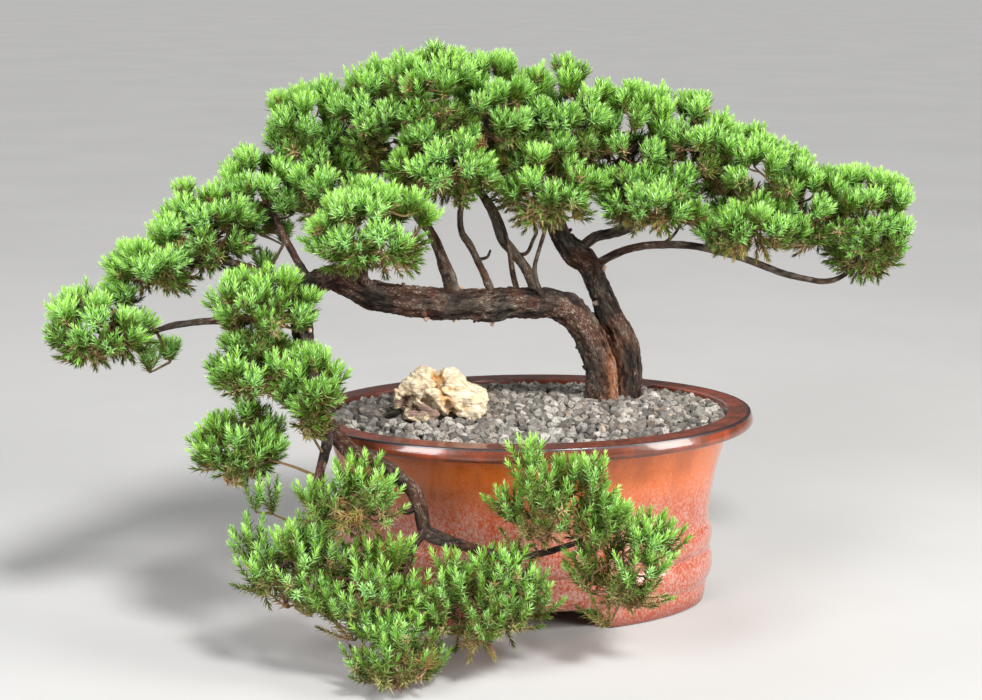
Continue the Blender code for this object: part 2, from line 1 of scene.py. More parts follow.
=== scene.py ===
"""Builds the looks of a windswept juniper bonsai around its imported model.

Units are metres, +Z up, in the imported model's frame. The pot, its grit, the stone, the wood and the
foliage are each a class that takes its place from the frame, builds its meshes and dresses them.
"""

import logging
import math
import random
from dataclasses import dataclass
from enum import Enum
from typing import Iterable, Optional, Sequence, Union

import bmesh
import bpy
from mathutils import Matrix, Vector, noise
from mathutils.bvhtree import BVHTree


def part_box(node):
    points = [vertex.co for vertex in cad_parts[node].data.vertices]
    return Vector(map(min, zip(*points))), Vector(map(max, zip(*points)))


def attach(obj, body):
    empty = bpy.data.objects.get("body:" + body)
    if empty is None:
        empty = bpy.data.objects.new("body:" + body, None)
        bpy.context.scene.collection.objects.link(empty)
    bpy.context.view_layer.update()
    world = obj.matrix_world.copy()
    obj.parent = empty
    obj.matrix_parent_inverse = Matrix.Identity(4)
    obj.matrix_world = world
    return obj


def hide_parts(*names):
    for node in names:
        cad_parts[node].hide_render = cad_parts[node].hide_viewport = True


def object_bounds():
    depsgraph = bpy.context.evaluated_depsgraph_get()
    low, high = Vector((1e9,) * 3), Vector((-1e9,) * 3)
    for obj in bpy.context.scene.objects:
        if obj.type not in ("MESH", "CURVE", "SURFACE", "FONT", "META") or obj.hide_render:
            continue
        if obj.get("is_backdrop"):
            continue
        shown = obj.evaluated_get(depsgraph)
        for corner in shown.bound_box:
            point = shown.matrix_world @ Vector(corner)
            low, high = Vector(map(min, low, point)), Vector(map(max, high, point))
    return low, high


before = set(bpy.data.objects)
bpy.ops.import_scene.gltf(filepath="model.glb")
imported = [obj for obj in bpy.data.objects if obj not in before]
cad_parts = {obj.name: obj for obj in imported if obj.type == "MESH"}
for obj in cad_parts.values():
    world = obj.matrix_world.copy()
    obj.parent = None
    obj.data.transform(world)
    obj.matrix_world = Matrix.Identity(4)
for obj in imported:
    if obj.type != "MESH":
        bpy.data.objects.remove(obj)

Colour = tuple[float, float, float]
Route = Sequence[tuple[float, float, float, float]]

LOG = logging.getLogger("bonsai")
BODY = "root"
MM = 0.001
GOLDEN_TURN = math.radians(137.5)
NOISE_SEED = 3
UP = Vector((0.0, 0.0, 1.0))


# ---------------------------------------------------------------- materials as expressions


class Field:
    """A value socket that ordinary arithmetic works on."""

    def __init__(self, graph: "Graph", socket: bpy.types.NodeSocket) -> None:
        """Hold a socket and the graph it belongs to."""
        self.graph = graph
        self.socket = socket

    def maths(self, operation: str, *operands: "Number") -> "Field":
        """Add a Math node.

        Args:
            operation: the Math node's operation.
            *operands: its inputs in order.

        Returns:
            The node's value.
        """
        made = self.graph.node("ShaderNodeMath", {"operation": operation}, dict(enumerate(operands)))
        return Field(self.graph, made.outputs[0])

    def __add__(self, other: "Number") -> "Field":
        """Sum."""
        return self.maths("ADD", self, other)

    def __radd__(self, other: "Number") -> "Field":
        """Sum, from the right."""
        return self.maths("ADD", other, self)

    def __sub__(self, other: "Number") -> "Field":
        """Difference."""
        return self.maths("SUBTRACT", self, other)

    def __rsub__(self, other: "Number") -> "Field":
        """Difference, from the right."""
        return self.maths("SUBTRACT", other, self)

    def __mul__(self, other: "Number") -> "Field":
        """Product."""
        return self.maths("MULTIPLY", self, other)

    def __rmul__(self, other: "Number") -> "Field":
        """Product, from the right."""
        return self.maths("MULTIPLY", other, self)

    def __truediv__(self, other: "Number") -> "Field":
        """Quotient."""
        return self.maths("DIVIDE", self, other)

    def __rtruediv__(self, other: "Number") -> "Field":
        """Quotient, from the right."""
        return self.maths("DIVIDE", other, self)

    def __pow__(self, other: "Number") -> "Field":
        """Power."""
        return self.maths("POWER", self, other)

    def over(self, edge: "Number") -> "Field":
        """1 where the value is greater than the edge."""
        return self.maths("GREATER_THAN", self, edge)

    def ease(self, low: float, high: float) -> "Field":
        """Rise smoothly from 0 at low to 1 at high, or fall if low is the greater.

        Args:
            low: where the result is 0.
            high: where the result is 1.

        Returns:
            The eased value.
        """
        settings = {"interpolation_type": "SMOOTHSTEP"}
        ends = (low, high, 0.0, 1.0) if low < high else (high, low, 1.0, 0.0)
        made = self.graph.node("ShaderNodeMapRange", settings, dict(enumerate((self, *ends))))
        return Field(self.graph, made.outputs[0])


Number = Union[float, Field]
Paint = Union[Colour, bpy.types.NodeSocket]


class Graph:
    """One material's node tree, built from expressions."""

    def __init__(self, name: str) -> None:
        """Start a material with a Principled shader."""
        self.material = bpy.data.materials.new(name)
        self.material.use_nodes = True
        self.tree = self.material.node_tree
        self.shader = self.tree.nodes["Principled BSDF"]

    def node(self, kind: str, settings: dict, inputs: dict) -> bpy.types.Node:
        """Add a node.

        Args:
            kind: the node's type name.
            settings: its settings, or the stops of its ramp, which are set first.
            inputs: values or links by socket name or number.

        Returns:
            The node.
        """
        made = self.tree.nodes.new(kind)
        for key, value in settings.items():
            if key == "stops":
                self.set_stops(made.color_ramp, value)
            else:
                setattr(made, key, value)
        for key, value in inputs.items():
            self.plug(made.inputs[key], value)
        return made

    @staticmethod
    def set_stops(ramp: bpy.types.ColorRamp, stops: Sequence[tuple[float, Colour]]) -> None:
        """Give a colour ramp its stops."""
        while len(ramp.elements) < len(stops):
            ramp.elements.new(1.0)
        for element, (place, colour) in zip(ramp.elements, stops):
            element.position = place
            element.color = (*colour, 1.0)

    def plug(self, socket: bpy.types.NodeSocket, value: Union[Number, Paint]) -> None:
        """Link or set one input socket."""
        if isinstance(value, Field):
            self.tree.links.new(value.socket, socket)
        elif isinstance(value, bpy.types.NodeSocket):
            self.tree.links.new(value, socket)
        elif isinstance(value, tuple) and socket.type == "RGBA":
            socket.default_value = (*value, 1.0)
        else:
            socket.default_value = value

    def place(self) -> bpy.types.NodeSocket:
        """The point in the object's own frame."""
        return self.node("ShaderNodeTexCoord", {}, {}).outputs["Object"]

    def attribute(self, name: str) -> bpy.types.NodeSocket:
        """A vector attribute of the mesh."""
        return self.node("ShaderNodeAttribute", {"attribute_name": name}, {}).outputs["Vector"]

    def layer(self, name: str) -> bpy.types.NodeSocket:
        """A UV map of the mesh."""
        return self.node("ShaderNodeUVMap", {"uv_map": name}, {}).outputs["UV"]

    def split(self, vector: bpy.types.NodeSocket) -> list[Field]:
        """A vector's three values."""
        made = self.node("ShaderNodeSeparateXYZ", {}, {0: vector})
        return [Field(self, socket) for socket in made.outputs]

    def stretch(self, vector: bpy.types.NodeSocket, scale: tuple[float, float, float]
                ) -> bpy.types.NodeSocket:
        """A vector multiplied axis by axis."""
        made = self.node("ShaderNodeVectorMath", {"operation": "MULTIPLY"}, {0: vector, 1: scale})
        return made.outputs[0]

    def turned(self, vector: bpy.types.NodeSocket, turn: tuple[float, float, float],
               scale: tuple[float, float, float]) -> bpy.types.NodeSocket:
        """A vector turned by Euler angles and scaled."""
        made = self.node("ShaderNodeMapping", {}, {"Vector": vector, "Rotation": turn, "Scale": scale})
        return made.outputs[0]

    def grain(self, vector: bpy.types.NodeSocket, scale: float, detail: float = 3.0,
              rough: float = 0.55, bend: float = 0.0) -> Field:
        """Fractal noise between 0 and 1."""
        values = {"Vector": vector, "Scale": scale, "Detail": detail, "Roughness": rough,
                  "Distortion": bend}
        return Field(self, self.node("ShaderNodeTexNoise", {}, values).outputs[0])

    def ramp(self, value: Field, stops: Sequence[tuple[float, Colour]]) -> bpy.types.NodeSocket:
        """A colour read from stops along a value."""
        return self.node("ShaderNodeValToRGB", {"stops": stops}, {0: value}).outputs[0]

    def mix(self, factor: Number, first: Paint, second: Paint, blend: str = "MIX"
            ) -> bpy.types.NodeSocket:
        """One colour laid over another.

        Args:
            factor: how much of the second shows.
            first: the colour below.
            second: the colour on top.
            blend: the Mix node's blend type.

        Returns:
            The mixed colour.
        """
        made = self.node("ShaderNodeMix", {"data_type": "RGBA", "blend_type": blend},
                         {0: factor, 6: first, 7: second})
        return made.outputs[2]

    def bump(self, height: Field, depth: float, strength: float = 1.0,
             below: Optional[bpy.types.NodeSocket] = None) -> bpy.types.NodeSocket:
        """A normal bent by a height, in metres of depth."""
        values = {"Height": height, "Distance": depth, "Strength": strength}
        if below:
            values["Normal"] = below
        return self.node("ShaderNodeBump", {}, values).outputs[0]

    def finish(self, **inputs: Union[Number, Paint]) -> bpy.types.Material:
        """Plug the shader's sockets, named with underscores, and give the material back."""
        for key, value in inputs.items():
            self.plug(self.shader.inputs[key.replace("_", " ")], value)
        return self.material


# ---------------------------------------------------------------- shared mesh work


def newest(geometry: Iterable, kind: type) -> list:
    """The elements of one kind in a bmesh operator's result."""
    return [item for item in geometry if isinstance(item, kind)]


def piece_from(bm: bmesh.types.BMesh, name: str, finish: bpy.types.Material,
               stands_for: Sequence[str], smooth: bool = True) -> bpy.types.Object:
    """Make a finished piece of a bmesh and hand it to the frame.

    Args:
        bm: the mesh, in the frame's place, which is used up.
        name: the piece's name.
        finish: its material.
        stands_for: the CAD nodes that it replaces.
        smooth: whether its faces are shaded smooth.

    Returns:
        The piece.
    """
    mesh = bpy.data.meshes.new(name)
    bm.to_mesh(mesh)
    bm.free()
    if smooth:
        mesh.shade_smooth()
    mesh.materials.append(finish)
    piece = bpy.data.objects.new(name, mesh)
    bpy.context.scene.collection.objects.link(piece)
    hand_over(piece, stands_for)
    return piece


def hand_over(piece: bpy.types.Object, stands_for: Sequence[str]) -> None:
    """Ride and replace a piece, and log it."""
    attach(piece, BODY)
    if stands_for:
        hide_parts(*stands_for)
    LOG.info("%s: %d faces", piece.name, len(piece.data.polygons))


def skin(rings: Sequence[Matrix], sides: int, coordinates: str = "") -> bmesh.types.BMesh:
    """A closed skin through circles of radius 1 placed by matrices.

    Args:
        rings: one matrix for each circle, whose Z axis runs along the skin.
        sides: how many sides each circle has.
        coordinates: a vertex layer that gets the place round and along the skin, or nothing.

    Returns:
        The skin, with outward normals.
    """
    bm = bmesh.new()
    layer = bm.verts.layers.float_vector.new(coordinates) if coordinates else None
    verts = bmesh.ops.create_circle(bm, cap_ends=True, segments=sides, radius=1.0,
                                    matrix=rings[0])["verts"]
    edges = bm.edges[:]
    along = 0.0
    for before, after in zip([rings[0], *rings], rings):
        if after is not rings[0]:
            grown = bmesh.ops.extrude_edge_only(bm, edges=edges)["geom"]
            verts = newest(grown, bmesh.types.BMVert)
            fresh = set(verts)
            edges = [edge for edge in newest(grown, bmesh.types.BMEdge)
                     if edge.verts[0] in fresh and edge.verts[1] in fresh]
            bmesh.ops.transform(bm, matrix=after @ before.inverted(), verts=verts)
        if layer:
            along += (after.translation - before.translation).length
            turn = after.inverted()
            radius = after.col[0].to_3d().length
            for vert in verts:
                spot = turn @ vert.co
                vert[layer] = (spot.x * radius, spot.y * radius, along)
    bmesh.ops.contextual_create(bm, geom=edges)
    bmesh.ops.recalc_face_normals(bm, faces=bm.faces[:])
    return bm


def smooth_route(points: Route, step: float) -> list[Vector]:
    """Points of x, y, z and radius along a smooth curve through the given ones.

    Args:
        points: the curve's own points.
        step: about how far apart the new points are.

    Returns:
        The new points, as 4D vectors.
    """
    rows = [Vector(point) for point in points]
    rows = [2 * rows[0] - rows[1]] + rows + [2 * rows[-1] - rows[-2]]
    made = []
    for before, start, end, after in zip(rows, rows[1:], rows[2:], rows[3:]):
        count = max(1, round((end - start).to_3d().length / step))
        for index in range(count):
            t = index / count
            made.append(0.5 * ((2 * start) + (end - before) * t
                               + (2 * before - 5 * start + 4 * end - after) * t**2
                               + (3 * start - before - 3 * end + after) * t**3))
    return made + [rows[-2]]


def ring_places(points: Sequence[Vector]) -> list[Matrix]:
    """Ring matrices along a route, without twist.

    Args:
        points: x, y, z and radius along the route.

    Returns:
        One matrix for each point.
    """
    spots = [point.to_3d() for point in points]
    side = None
    places = []
    for index, spot in enumerate(spots):
        ahead = spots[min(index + 1, len(spots) - 1)]
        behind = spots[max(index - 1, 0)]
        way = (ahead - behind).normalized()
        if side is None:
            side = way.orthogonal().normalized()
        side = (side - way * side.dot(way)).normalized()
        radius = points[index].w
        turn = Matrix((side * radius, way.cross(side) * radius, way)).transposed()
        places.append(Matrix.Translation(spot) @ turn.to_4x4())
    return places


def tree_of(names: Iterable[str]) -> tuple[BVHTree, list[str]]:
    """A search tree over some CAD nodes.

    Args:
        names: the nodes.

    Returns:
        The tree, and the node that each of its faces belongs to.
    """
    verts, faces, owners = [], [], []
    for name in names:
        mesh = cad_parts[name].data
        first = len(verts)
        verts += [vert.co.copy() for vert in mesh.vertices]
        faces += [[first + index for index in face.vertices] for face in mesh.polygons]
        owners += [name] * len(mesh.polygons)
    return BVHTree.FromPolygons(verts, faces), owners


# ---------------------------------------------------------------- finishes


@dataclass(frozen=True)
class GlazeFinish:
    """Copper red glaze that breaks to orange under the lip and to pink speckle on the body."""

    red: Colour = (0.39, 0.064, 0.026)
    orange: Colour = (0.72, 0.155, 0.012)
    pink: Colour = (0.46, 0.300, 0.240)
    deep: Colour = (0.150, 0.024, 0.014)
    lip: Colour = (0.085, 0.026, 0.016)
    worn: Colour = (0.340, 0.165, 0.120)
    edge: Colour = (0.010, 0.011, 0.014)

    def material(self, pot: "Pot") -> bpy.types.Material:
        """The glaze on one pot.

        Args:
            pot: gives the heights and half sizes that the bands of colour follow.

        Returns:
            The material.
        """
        graph = Graph("copper_red_glaze")
        place = graph.place()
        x, y, height = graph.split(place)
        half_x, half_y = pot.length / 2, pot.width / 2
        out = (((x - pot.centre.x) / half_x) ** 2.0 + ((y - pot.centre.y) / half_y) ** 2.0) ** 0.5
        cloud = graph.grain(place, 14.0, 4.0, 0.6, 0.4)
        fleck = graph.grain(graph.stretch(place, (1.0, 1.0, 0.75)), 620.0, 4.0, 0.75)
        drift = graph.grain(graph.stretch(place, (1.0, 1.0, 0.25)), 60.0, 5.0, 0.65)
        under_lip = (height + cloud * 0.02).ease(0.072, 0.118)
        body = graph.mix(under_lip * 0.85, self.red, self.orange)
        speckle = (fleck * 0.95 + drift * 0.25).ease(0.52, 0.72)
        body = graph.mix(speckle * (0.80 - under_lip * 0.66), body, self.pink)
        body = graph.mix((drift * 0.6 + cloud * 0.5).ease(0.56, 0.40) * 0.30, body, self.deep)
        body = graph.mix(fleck.ease(0.44, 0.30) * 0.45, body, self.deep)
        foot = height.ease(0.012, 0.001)
        body = graph.mix(foot * 0.7, body, self.deep)
        neck = pot.height - pot.lip_height
        at_lip = height.ease(neck - 0.0006, neck + 0.0010)
        side = graph.mix((cloud * 0.6 + drift * 0.5).ease(0.50, 0.66) * 0.5, self.lip, self.red)
        colour = graph.mix(at_lip * 0.94, body, side)
        wear = graph.grain(place, 95.0, 4.0, 0.7)
        on_top = height.ease(pot.height - 0.0022, pot.height - 0.0008)
        streak = graph.grain(graph.stretch(place, (1.0, 2.2, 1.0)), 210.0, 4.0, 0.7, 0.6)
        rubbed = graph.mix(wear.ease(0.38, 0.66) * 0.5, self.lip, self.red)
        rubbed = graph.mix(streak.ease(0.50, 0.72) * 0.55, rubbed, self.worn)
        colour = graph.mix(on_top * 0.9, colour, rubbed)
        line = on_top * out.ease(0.966, 0.980) * (wear * 1.6).ease(0.40, 0.65)
        colour = graph.mix(line * 0.9, colour, self.edge)
        rough = 0.13 + on_top * 0.24 + speckle * 0.10 + wear * 0.08
        pits = graph.bump(fleck, 0.00022, 0.35)
        waves = graph.bump(drift, 0.0009, 0.30, pits)
        return graph.finish(Base_Color=colour, Roughness=rough, Normal=waves, Coat_Weight=0.7,
                            Coat_Roughness=0.07, IOR=1.45)


@dataclass(frozen=True)
class BarkFinish:
    """Flaking juniper bark: dark plates, red-brown fibres between them and some grey lichen, with
    painted shade in the crevices and pale flakes on the raised bark that are partly a painted highlight.
    """

    name: str = "flaking_bark"
    plate: Colour = (0.019, 0.013, 0.010)
    ridge: Colour = (0.078, 0.056, 0.044)
    fibre: Colour = (0.110, 0.042, 0.024)
    # Pale weathered flakes, partly a painted highlight on the raised bark.
    flake: Colour = (0.460, 0.400, 0.320)
    # The cracks' own dark colour, deepened to painted shade in the low crevices.
    crack_and_shade: Colour = (0.006, 0.004, 0.003)
    peel: Colour = (0.330, 0.125, 0.055)
    lichen: Colour = (0.150, 0.165, 0.125)
    lichen_share: float = 0.35
    scar: Colour = (0.68, 0.46, 0.34)

    def material(self) -> bpy.types.Material:
        """The bark, which follows the limb by the attributes that Limb writes.

        Returns:
            The material.
        """
        graph = Graph(self.name)
        limb = graph.attribute("limb")
        marks = graph.split(graph.attribute("marks"))
        place = graph.place()
        strips = graph.grain(graph.stretch(limb, (1.0, 1.0, 0.20)), 520.0, 5.0, 0.68, 0.8)
        flakes = graph.grain(graph.stretch(limb, (1.0, 1.0, 0.50)), 420.0, 6.0, 0.75, 1.2)
        fine = graph.grain(graph.stretch(limb, (1.0, 1.0, 0.35)), 1600.0, 4.0, 0.7)
        broad = graph.grain(place, 42.0, 3.0, 0.6)
        high = marks[0]
        colour = graph.mix((strips * 0.6 + flakes * 0.4 + high * 0.35).ease(0.50, 0.86), self.plate,
                           self.ridge)
        colour = graph.mix((broad + fine * 0.25).ease(0.54, 0.74) * 0.75, colour, self.fibre)
        colour = graph.mix(marks[2] * (0.5 + strips * 0.9), colour, self.peel)
        # Painted shade: the lowest parts of the relief go near black.
        colour = graph.mix((flakes * 0.6 + high * 0.5).ease(0.54, 0.36) * 0.92, colour, self.crack_and_shade)
        green = graph.grain(place, 75.0, 5.0, 0.75)
        _, _, height = graph.split(place)
        grown = green.ease(0.50, 0.62) * high.ease(0.3, 0.6) * self.lichen_share
        colour = graph.mix(grown * height.ease(0.150, 0.185), colour, self.lichen)
        # Pale flakes on the raised bark, partly a painted highlight.
        pale = (fine * 0.6 + flakes * 0.5 + marks[2] * 0.06).ease(0.555, 0.66) * high.ease(0.38, 0.60)
        colour = graph.mix(pale * broad.ease(0.36, 0.60) * 0.85, colour, self.flake)
        colour = graph.mix(marks[1], colour, self.scar)
        relief = graph.bump(strips * 0.7 + flakes * 1.0 + fine * 0.3, 0.0022, 1.0)
        return graph.finish(Base_Color=colour, Roughness=0.84 + fine * 0.15, Normal=relief,
                            Specular_IOR_Level=0.25)


@dataclass(frozen=True)
class NeedleFinish:
    """Juniper needles, coloured from a palette: along the needle in U, by tone in V."""

    outer: tuple = ((0.00, (0.090, 0.045, 0.026)), (0.09, (0.220, 0.115, 0.058)),
                    (0.16, (0.420, 0.220, 0.080)), (0.31, (0.220, 0.190, 0.034)),
                    (0.46, (0.036, 0.054, 0.003)), (0.64, (0.070, 0.150, 0.006)),
                    (0.82, (0.190, 0.430, 0.030)), (1.00, (0.460, 0.800, 0.120)))
    inner: tuple = ((0.00, (0.110, 0.065, 0.038)), (0.09, (0.290, 0.180, 0.095)),
                    (0.16, (0.520, 0.350, 0.170)), (0.31, (0.360, 0.350, 0.130)),
                    (0.46, (0.110, 0.150, 0.034)), (0.64, (0.185, 0.325, 0.060)),
                    (0.82, (0.380, 0.690, 0.240)), (1.00, (0.620, 0.920, 0.420)))
    shine: float = 0.38

    def material(self) -> bpy.types.Material:
        """The needles' and their twigs' material, which reads only the palette's UV map.

        Returns:
            The material.
        """
        graph = Graph("juniper_needles")
        across, tone, _ = graph.split(graph.layer(SprigShape.palette))
        inside = across.over(0.5)
        along = across * 2.0 - inside
        colour = graph.mix(inside, graph.ramp(tone, self.outer), graph.ramp(tone, self.inner))
        pale = graph.mix(tone.ease(0.25, 0.75), (0.62, 0.44, 0.20), (0.46, 0.62, 0.16))
        colour = graph.mix(along.ease(0.72, 1.0) * 0.42, colour, pale)
        colour = graph.mix(along.ease(0.30, 0.0) * 0.30, colour, (0.20, 0.24, 0.05))
        return graph.finish(Base_Color=colour, Roughness=self.shine, Specular_IOR_Level=0.32)


@dataclass(frozen=True)
class GritFinish:
    """Dry crushed lava grit: mostly grey, with some pink, tan and dark grains, and painted shade on the
    bed and the lower grains.
    """

    def material(self) -> bpy.types.Material:
        """The grit, each grain in its own colour from the grain map.

        Returns:
            The material.
        """
        graph = Graph("crushed_grit")
        place = graph.place()
        tone, hue, _ = graph.split(graph.layer(Dressing.grain_map))
        # The dark end of the tone ramp is painted shade, used by the bed and the lower grains.
        grey = graph.ramp(tone, ((0.0, (0.028, 0.023, 0.019)), (0.30, (0.120, 0.106, 0.092)),
                                 (0.70, (0.275, 0.252, 0.222)), (1.0, (0.540, 0.505, 0.450))))
        warm = graph.ramp(tone, ((0.0, (0.040, 0.028, 0.020)), (1.0, (0.450, 0.340, 0.250))))
        colour = graph.mix(hue.ease(0.66, 1.0) * 0.75, grey, warm)
        pores = graph.grain(place, 800.0, 4.0, 0.75)
        dust = graph.grain(place, 260.0, 3.0, 0.6)
        colour = graph.mix(pores.ease(0.50, 0.34) * 0.8, colour, (0.045, 0.039, 0.033))
        colour = graph.mix(dust.ease(0.50, 0.75) * 0.35, colour, (0.50, 0.475, 0.42))
        relief = graph.bump(pores * 0.6 + dust * 0.6, 0.0016, 1.0)
        return graph.finish(Base_Color=colour, Roughness=0.92, Normal=relief)


@dataclass(frozen=True)
class RockFinish:
    """Cream layered stone, with an iron stain in its cleft, painted purple-brown shade in its hollow and
    painted shade in its low relief.
    """

    cream: Colour = (0.64, 0.50, 0.31)
    pale: Colour = (0.82, 0.74, 0.57)
    tan: Colour = (0.42, 0.27, 0.13)
    stain: Colour = (0.60, 0.27, 0.05)
    # Painted shade for the hollow, also used for random dark blotches.
    hollow: Colour = (0.150, 0.086, 0.086)

    def material(self, stone: "AccentStone") -> bpy.types.Material:
        """The stone's material.

        Args:
            stone: gives the turn of the layers.

        Returns:
            The material.
        """
        graph = Graph("layered_rock")
        place = graph.place()
        dip = (0.0, stone.layer_dip, stone.layer_turn)
        strata = graph.grain(graph.turned(place, dip, (0.30, 0.6, 2.6)), 260.0, 5.0, 0.7, 0.8)
        hair = graph.grain(graph.turned(place, dip, (0.12, 0.3, 2.2)), 900.0, 3.0, 0.7, 0.3)
        blotch = graph.grain(place, 70.0, 4.0, 0.6, 0.5)
        marks = graph.split(graph.attribute("marks"))
        colour = graph.mix(strata.ease(0.38, 0.66), self.cream, self.pale)
        colour = graph.mix(hair.ease(0.52, 0.36) * 0.70, colour, self.tan)
        colour = graph.mix(blotch.ease(0.56, 0.72) * 0.45, colour, self.tan)
        colour = graph.mix(marks[2] * blotch.ease(0.35, 0.60), colour, self.stain)
        # Painted shade in the hollow, broken by tan hair lines.
        hollow_shade = graph.mix(hair.ease(0.40, 0.62) * 0.5, self.hollow, self.tan)
        colour = graph.mix(marks[1].ease(0.15, 0.60) * (1.25 - strata * 0.7), colour, hollow_shade)
        colour = graph.mix(blotch.ease(0.47, 0.34) * strata.ease(0.58, 0.42) * 0.7, colour, self.hollow)
        # Painted shade: the pressed-in parts of the relief are darkened.
        colour = graph.mix(marks[0].ease(0.42, 0.20) * 0.75, colour, (0.10, 0.06, 0.035))
        relief = graph.bump(strata * 0.7 + hair * 0.5, 0.0012, 0.9)
        return graph.finish(Base_Color=colour, Roughness=0.86, Normal=relief)


@dataclass(frozen=True)
class PlainFinish:
    """A hidden or small piece's finish: one colour broken up by grain, with a fine relief."""

    name: str
    colour: Colour
    second: Colour
    roughness: float
    scale: float
    depth: float = 0.0003
    metallic: float = 0.0
    gloss: float = 0.5

    def material(self) -> bpy.types.Material:
        """The material.

        Returns:
            The material.
        """
        graph = Graph(self.name)
        place = graph.place()
        cloud = graph.grain(place, self.scale, 4.0, 0.65)
        colour = graph.mix(cloud.ease(0.35, 0.65), self.colour, self.second)
        relief = graph.bump(cloud, self.depth, 0.6)
        return graph.finish(Base_Color=colour, Roughness=self.roughness + cloud * 0.1,
                            Metallic=self.metallic, Normal=relief, Specular_IOR_Level=self.gloss)


# ---------------------------------------------------------------- the pot and what it holds


@dataclass
class Pot:
    """The oval bowl, with its lip, two swelling bands and four feet."""

    lip_width: float = 0.017
    lip_height: float = 0.010
    lip_round: float = 0.0030
    lip_lean: float = 0.0017
    edge_round: float = 0.0013
    wall: float = 0.009
    floor: float = 0.008
    body_inset: float = 0.0277
    flare: float = 0.0128
    flare_from: float = 0.054
    underside: float = 0.0165
    foot_width: float = 0.011
    foot_round: float = 0.0022
    gap_height: float = 0.015
    gap_long: float = 0.090
    gap_short: float = 0.056
    gap_slope: float = 0.010
    bands: tuple = ((0.014, 0.036, 0.0030), (0.036, 0.054, 0.0024))
    band_fullness: float = 0.7
    drain_spacing: float = 0.110
    drain_radius: float = 0.009
    sides: int = 240

    def __post_init__(self) -> None:
        """Take the overall sizes from the frame."""
        low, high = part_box("pot")
        self.length, self.width, self.height = high - low
        self.centre = Vector(((low.x + high.x) / 2, (low.y + high.y) / 2, 0.0))

    def outer_inset(self, height: float) -> float:
        """How far the outer wall is inside the lip's edge at a height."""
        neck = self.height - self.lip_height
        lean = max(0.0, height - self.flare_from) / (neck - self.flare_from)
        inset = self.body_inset - self.flare * lean**2
        for bottom, top, swell in self.bands:
            if bottom < height < top:
                share = (height - bottom) / (top - bottom)
                inset -= swell * math.sin(math.pi * share) ** self.band_fullness
        return inset

    def inner_inset(self, height: float) -> float:
        """How far the inner wall is inside the lip's edge at a height."""
        return self.outer_inset(max(height, self.flare_from)) + self.wall

    def corner(self, inset: float, height: float, radius: float, start: float, steps: int = 5
               ) -> list[tuple[float, float]]:
        """A quarter round, as inset and height.

        Args:
            inset: the round's centre, from the lip's edge.
            height: the round's centre.
            radius: its radius.
            start: the angle it starts from, in quarters of a turn, 0 pointing out.
            steps: how many parts it has.

        Returns:
            Its points, turning upwards.
        """
        angles = [math.pi / 2 * (start + step / steps) for step in range(steps + 1)]
        return [(inset - radius * math.cos(angle), height + radius * math.sin(angle))
                for angle in angles]

    def levels(self) -> list[tuple[float, float]]:
        """The wall's section, from the underside out, up, over the lip and down inside.

        Returns:
            Inset from the lip's edge and height of each ring.
        """
        neck = self.height - self.lip_height
        foot = self.outer_inset(0.0)
        floor_top = self.underside + self.floor
        rounding = self.foot_round
        section = [(foot + self.foot_width + 0.002, self.underside)]
        inner_face = foot + self.foot_width
        section += [(inner_face, height) for height in (self.underside - 0.001, 0.008, 0.002)]
        section += [(inner_face - 0.001, 0.0004), (inner_face - 0.0025, 0.0)]
        section += [(foot + rounding + 0.001, 0.0)]
        section += self.corner(foot + rounding, rounding, rounding, -1.0)
        section += [(foot, 0.006), (foot, 0.010)]
        for bottom, top, _ in self.bands:
            heights = [bottom + (top - bottom) * share / 14 for share in range(15)]
            section += [(self.outer_inset(height), height) for height in heights[:-1]]
        rise = neck - 0.002 - self.flare_from
        heights = [self.flare_from + rise * share / 14 for share in range(15)]
        section += [(self.outer_inset(height), height) for height in heights]
        tuck = self.outer_inset(neck)
        section += [(tuck - 0.0006, neck - 0.0008), (tuck - 0.0020, neck - 0.0001),
                    (self.lip_round + 0.001, neck + 0.0004)]
        section += self.corner(self.lip_round, neck + self.lip_round + 0.0004, self.lip_round, -0.95)
        low, high = neck + self.lip_round + 0.0004, self.height - self.edge_round
        section += [(self.lip_lean * share**2 / 9, low + (high - low) * share / 3) for share in (1, 2)]
        section += self.corner(self.lip_lean + self.edge_round, high, self.edge_round, 0.15)
        section += [(share * self.lip_width / 4, self.height - 0.0001) for share in (1.1, 2, 3)]
        section += self.corner(self.lip_width - 0.0015, self.height - 0.0016, 0.0015, 1.0)
        inner = [neck - (neck - self.flare_from) * share / 8 for share in range(9)]
        section += [(self.inner_inset(height), height) for height in inner]
        inside = self.inner_inset(0.0)
        section += [(inside, floor_top + 0.006), (inside + 0.002, floor_top + 0.002),
                    (inside + 0.006, floor_top), (inside + 0.03, floor_top)]
        return section

    def gap_lift(self, x: float, y: float) -> float:
        """How high the foot is cut away at a place measured from the pot's middle.

        Args:
            x: along the pot.
            y: across the pot.

        Returns:
            The gap's height there, 0 on a foot.
        """
        long_side = abs(y) / self.width > abs(x) / self.length
        gap, spot = (self.gap_long, abs(x)) if long_side else (self.gap_short, abs(y))
        share = min(1.0, max(0.0, (gap / 2 + 0.001 - spot) / (self.gap_slope + 0.002)))
        return self.gap_height * share * share * (3.0 - 2.0 * share)

